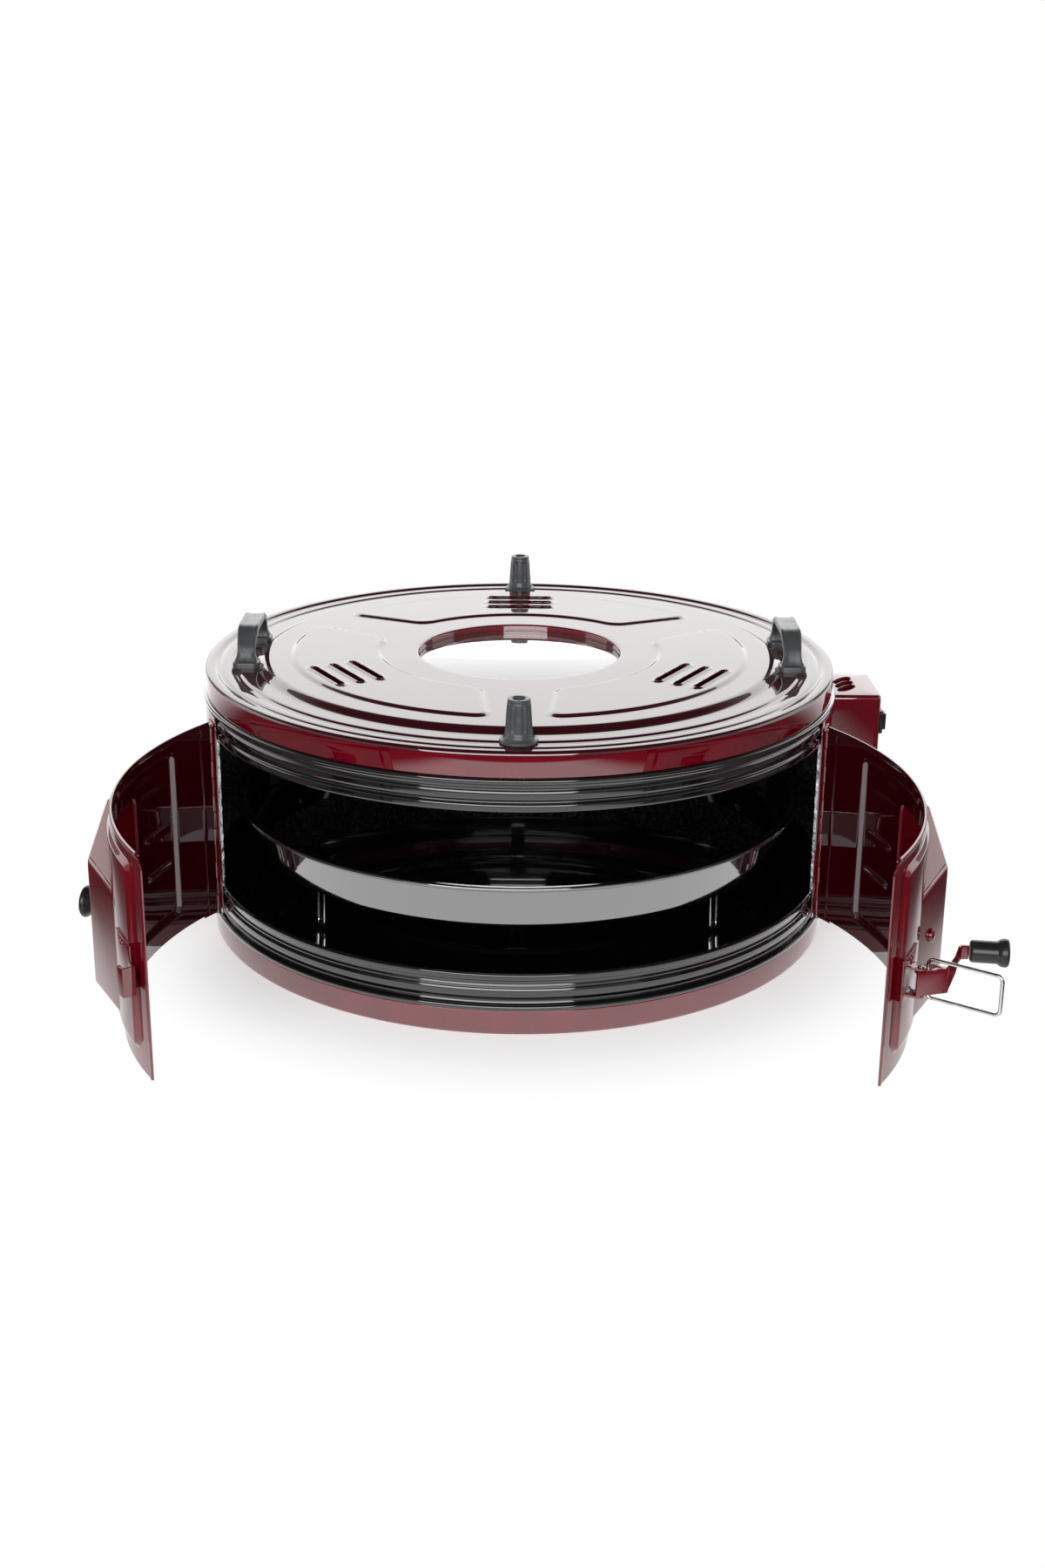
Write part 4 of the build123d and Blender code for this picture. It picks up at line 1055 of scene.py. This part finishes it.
def round_wire(diameter, path, across, sides=16):
    """A round wire along a path."""
    bm = bmesh.new()
    bmesh.ops.create_circle(bm, cap_ends=True, cap_tris=False, segments=sides, radius=diameter / 2 * mm)
    return swept(bm, path, across)


# %% Bail and lever pin
bail_root = Vector((209.463, -283.007, 78))
bail_turn = math.radians(open_angle)
bail_way = Vector((math.sin(bail_turn), -math.cos(bail_turn), 0))
rise = Vector((0, 0, 1))
bail_corners = [bail_root + rise * 4.2, bail_root + rise * 10.7, bail_root + bail_way * 39.1 + rise * 10.7]
bail_corners += [bail_root + bail_way * 39.1 - rise * 10.7, bail_root - rise * 10.7, bail_root - rise * 4.2]
bail_bm = round_wire(2.0, route(bail_corners, 3.0), bail_way.cross(rise))
keep_piece(bail_bm, "wire_bail", "bail_loop", nickel_wire, ["bail"])
pin_corners = [(0, 69.7, 0), (1.0, 69.7, 0.2), (1.0, 86.3, 0), (1.8, 86.3, 0.1), (1.8, 86.9, 0.3)]
pin_corners += [(0, 87.1, 0)]
pin_bm = turned(pin_corners, 24, moved(21.5, -209.5, 0), opening)
keep_piece(pin_bm, "lever_pin", "right_door", pin_steel, ["latch_pin"])

# %% [markdown]
# ## Tray stand
# The tray rests on a triangle of bar on three wire legs. A turn of three steps makes the triangle from one
# rounded section, and each leg is a wire bent to a narrow U.

# %% Tray stand
stand_bm = outline([(144, 54.65, 1.0), (150, 54.65, 1.0), (150, 57.65, 1.0), (144, 57.65, 1.0)])
spun(placed(stand_bm, about("Z", 90)), 3)
for angle in (90, 210, 330):
    out = Vector((math.cos(math.radians(angle)), math.sin(math.radians(angle)), 0))
    side = rise.cross(out)
    foot = out * 141
    leg = [foot - side * 4.5 + rise * 56, foot - side * 4.5 + rise * 14.32]
    leg += [foot + side * 4.5 + rise * 14.32, foot + side * 4.5 + rise * 56]
    added(stand_bm, round_wire(3.0, route(leg, 4.2), out))
placed(stand_bm, tray_forward)
keep_piece(stand_bm, "stand_wires", "drum", nickel_wire, ["tray_stand"])

# %% [markdown]
# ## Lid fittings
# Two strap handles and two tapered pegs are moulded in satin plastic. A strap is one ribbed section swept
# over an arch, and a peg is turned, then fluted by drawing its sides in.


# %% Strap handles
def strap_section():
    """Section of the strap: a flat bar with a raised border along each edge."""
    bm = bmesh.new()
    bmesh.ops.create_grid(bm, x_segments=1, y_segments=1, size=0.5)
    bmesh.ops.scale(bm, vec=(12.6 * mm, 4.0 * mm, 1), verts=bm.verts)
    rounded(bm, bm.verts[:], 1.2, 4, "VERTICES")
    top = max(bm.edges, key=lambda edge: (edge.verts[0].co + edge.verts[1].co).y)
    bmesh.ops.subdivide_edges(bm, edges=[top], cuts=5)
    line = [vert for vert in bm.verts if vert.co.y > 1.999 * mm and abs(vert.co.x) < 4 * mm]
    bmesh.ops.translate(bm, verts=line, vec=(0, -0.55 * mm, 0))
    return bm


def foot_block():
    """A foot of the handle: a low block with rounded sides that is wider than the strap."""
    bm = rounded_block((0, 0), (16.4, 14.4), 4.0, (0, 3.6))
    rim = [edge for edge in bm.edges if min(vert.co.z for vert in edge.verts) > 3.5 * mm]
    rounded(bm, rim, 1.2, 4)
    return bm


handle_x, handle_low, handle_high = 169.9, 168.22, 188.92
arch = [(handle_x, -30.6, handle_low + 2.4), (handle_x, -27.6, handle_high), (handle_x, 27.6, handle_high)]
arch += [(handle_x, 30.6, handle_low + 2.4)]
arch_path = route(arch, 15.0, 16)
strap_path, scales = [], []
for first, second in zip(arch_path, arch_path[1:]):
    for part in range(4):
        strap_path.append(first.lerp(second, part / 4))
strap_path.append(arch_path[-1])
waist_width, foot_extra, top_extra = 0.86, 0.36, 0.18
for place in strap_path:
    height = place.z / mm - handle_low
    flare = max(0.0, 1 - (height - 2.4) / 8) ** 2
    lift = min(1.0, height / (handle_high - handle_low))
    scales.append((waist_width + foot_extra * flare + top_extra * lift ** 3, 1.0 + 1.3 * flare))
handle_bm = swept(strap_section(), strap_path, (-1, 0, 0), scales)
for end in (-30, 30):
    added(handle_bm, placed(foot_block(), moved(handle_x, end, handle_low)))
keep_pair(handle_bm, "strap_handle", "lid", satin_grey, "lid_handle", 35)

# %% [markdown]
# A peg is turned with a flange at its foot and a hollow top. Rings are cut round its tapered part, whose
# sides are then drawn in eight times round, fading out at both ends.

# %% Pegs
peg_corners = [(0, 168.22, 0), (10.85, 168.22, 0.5), (10.85, 170.0, 0.5), (9.2, 170.6, 0.4)]
peg_corners += [(8.3, 171.6, 0.6), (7.9, 173.6, 0.5), (7.7, 174.2, 0.3), (6.6, 190.4, 0.3)]
peg_corners += [(6.4, 191.2, 0.3), (6.4, 193.2, 0.6), (3.9, 193.2, 0.6), (3.2, 192.4, 0.3)]
peg_corners += [(3.2, 184.2, 0), (0, 184.2, 0)]
peg_bm = turned(peg_corners, 96)
ring_cuts = [edge for edge in peg_bm.edges if abs(edge.verts[0].co.z - edge.verts[1].co.z) > 10 * mm]
bmesh.ops.subdivide_edges(peg_bm, edges=ring_cuts, cuts=14, use_grid_fill=True)
flute_low, flute_high, flute_fade, flute_depth = 174.4, 190.2, 1.6, 0.09
for vert in peg_bm.verts:
    height = vert.co.z / mm
    if vert.co.xy.length > 5 * mm and flute_low < height < flute_high:
        fade = min(1, (height - flute_low) / flute_fade, (flute_high - height) / flute_fade)
        turn = math.atan2(vert.co.y, vert.co.x)
        flute = max(0.0, math.cos(8 * turn + math.pi)) ** 0.6
        vert.co.x *= 1 - flute_depth * fade * flute
        vert.co.y *= 1 - flute_depth * fade * flute
for end, name in ((-177.5, "front"), (177.5, "rear")):
    one = placed(peg_bm.copy(), moved(0, end, 0))
    keep_piece(one, name + "_turned_peg", "lid", satin_grey, [name + "_lid_peg"], 40)

# %% [markdown]
# ## Control box
# A deep pressed box holds the switch on the right of the drum. Its bends are rounded, its top has three
# louvres, and openings for the switch and the cord bushing are cut through its wall.


# %% Control box
def control_block(wall, bend, edge_bend):
    """The control box as a closed block, smaller by wall."""
    bm = bmesh.new()
    bmesh.ops.create_cube(bm, size=1)
    depth, width, height = 66 - wall, 52 - 2 * wall, 101 - 2 * wall
    bmesh.ops.scale(bm, vec=Vector((depth, width, height)) * mm, verts=bm.verts)
    placed(bm, moved(232 - wall - depth / 2, 18, 94.5))
    outer = [edge for edge in bm.edges if all(vert.co.x > 0.22 for vert in edge.verts)]
    upright = [edge for edge in outer if abs(edge.verts[0].co.z - edge.verts[1].co.z) > 0.01]
    rounded(bm, upright, bend, 6)
    steep = [edge for edge in bm.edges if edge.calc_face_angle(0) > 1]
    rounded(bm, [edge for edge in steep if max(vert.co.x for vert in edge.verts) > 0.2], edge_bend, 5)
    return bm


control_bm = cut_away(control_block(0, 4.0, 2.6), control_block(1.2, 2.8, 1.6), "control")
control_bm = cut_away(control_bm, drum_core(199.05), "control_core")
switch_hole = moved(232, 6, 126) @ about("Y", 90) @ about("Z", 90)
holes = placed(rounded_block((0, 0), (18.4, 11.4), 1.0, (-5, 5)), switch_hole)
added(holes, rounded_block((216, 30), (9.0, 9.0), 4.4, (40, 48)))
louvres = [moved(212, 18 + step, 145) @ about("Z", 35) for step in (-9, 0, 9)]
for louvre in louvres:
    added(holes, placed(rounded_block((0, 0), (15, 3), 1.4, (-4, 4)), louvre))
control_bm = cut_away(control_bm, holes, "control_holes")
for louvre in louvres:
    hood = bmesh.new()
    bmesh.ops.create_uvsphere(hood, u_segments=24, v_segments=12, radius=1)
    sliced(hood, (0, 0.25, -0.2), (0, -1, -0.15), closed=False)
    sliced(hood, (0, 0, -0.1), (0, 0, -1), closed=False)
    placed(hood, Matrix.Diagonal((8.3 * mm, 2.6 * mm, 2.2 * mm, 1)))
    bmesh.ops.recalc_face_normals(hood, faces=hood.faces)
    bmesh.ops.solidify(hood, geom=hood.faces[:], thickness=0.5 * mm)
    added(control_bm, placed(hood, louvre))
keep_piece(control_bm, "pressed_control_box", "drum", ruby, ["control_box"], 30)

# %% [markdown]
# ## Lid
# The lid is one pressed disc: a wide panel with three raised, slotted sectors, a step down to a ledge, a
# rolled rim and a skirt. A finely turned disc is moved up and down by a height rule, as a press does.


# %% Lid heights
def round_corner(first, second, radius):
    """Signed distance to where both distances are negative, with the corner rounded."""
    out = np.hypot(np.maximum(first + radius, 0), np.maximum(second + radius, 0)) - radius
    return np.where((first > -radius) & (second > -radius), out, np.maximum(first, second))


sector_outer, sector_inner, sector_corner = 143.5, 89.0, 8.0
sector_half_outer, sector_half_inner = math.radians(53.0), math.radians(45.3)
slot_circles, slot_length, slot_width = (108.0, 121.0, 134.0), 44.0, 4.4
end_top = Vector((math.cos(sector_half_outer), math.sin(sector_half_outer))) * sector_outer
end_low = Vector((math.cos(sector_half_inner), math.sin(sector_half_inner))) * sector_inner
end_way = (end_top - end_low).normalized()


def sector_place(x, y):
    """Turns a point into the frame of its nearest sector, whose middle then lies on +X."""
    angle = np.degrees(np.arctan2(y, x))
    offset = np.radians((angle - 90 + 60) % 120 - 60)
    radius = np.hypot(x, y)
    return radius, radius * np.cos(offset), np.abs(radius * np.sin(offset))


def pressed_height(x, y):
    """Height in millimetres that pressing adds to the lid's turned outline."""
    radius, along, side = sector_place(x, y)
    past_end = (side - end_low.y) * end_way.x - (along - end_low.x) * end_way.y
    distance = round_corner(radius - sector_outer, past_end, sector_corner)
    distance = round_corner(sector_inner - radius, distance, sector_corner)
    height = 1.3 * (1 - soft_step(distance, -1.9, 1.9))
    for circle in slot_circles:
        past_slot = np.maximum(side - slot_length / 2 + slot_width / 2, 0)
        gap = np.hypot(past_slot, along - circle) - slot_width / 2
        height = height + 0.8 * (1 - soft_step(gap, 0.3, 1.9))
    return height


# %% Lid disc
lid_corners = [(64, 163.4, 0), (64, 171.2, 1.6)]
lid_corners += [(radius, 171.2, 0) for radius in (*np.arange(68, 84, 4), *np.arange(85, 150, 1.0))]
lid_corners += [(152, 171.2, 0), (158, 171.2, 0), (160.5, 171.2, 2.0), (165.0, 168.2, 2.0)]
lid_corners += [(171, 168.2, 0), (176.6, 168.2, 1.2), (178.2, 167.3, 1.0), (180.8, 167.3, 1.0)]
lid_corners += [(182.4, 168.2, 1.2), (187.4, 168.2, 1.0), (189.0, 167.5, 0.8), (190.6, 167.7, 0.8)]
lid_corners += [(192.4, 168.9, 1.2), (198.2, 168.9, 2.4), (198.2, 153.95, 0.3), (197.4, 153.95, 0.2)]
lid_corners += [(197.4, 167.4, 0.8), (164.6, 167.4, 1), (160.6, 170.4, 1), (64.8, 170.4, 1)]
lid_corners += [(64.8, 163.4, 0)]
lid_bm = spun(outline(lid_corners), 510)
spots = np.array([vert.co for vert in lid_bm.verts])
on_top = (spots[:, 2] > 0.1711) & (np.hypot(spots[:, 0], spots[:, 1]) < 0.155)
spots[on_top, 2] += pressed_height(spots[on_top, 0] / mm, spots[on_top, 1] / mm) * mm
for vert, spot in zip(lid_bm.verts, spots):
    vert.co = spot
print("lid disc:", len(lid_bm.faces), "faces")

# %% [markdown]
# Nine slots let steam out, three in each raised sector. One cutter of nine rounded bars is taken out of the
# disc at once, which keeps the pressed surface round them.

# %% Lid slots
cutter_bm = bmesh.new()
for middle in (90, 210, 330):
    for circle in slot_circles:
        made = bmesh.ops.create_grid(cutter_bm, x_segments=1, y_segments=1, size=0.5)
        shape = Matrix.Diagonal((slot_width * mm, slot_length * mm, 1, 1))
        shape = about("Z", middle) @ moved(circle, 0, 165) @ shape
        bmesh.ops.transform(cutter_bm, matrix=shape, verts=made["verts"])
rounded(cutter_bm, cutter_bm.verts[:], slot_width / 2 - 0.1, 6, "VERTICES")
raised(cutter_bm, 12)
lid_bm = cut_away(lid_bm, cutter_bm, "lid")
keep_piece(lid_bm, "lid_pressing", "lid", ruby, ["lid_panel"], 30)
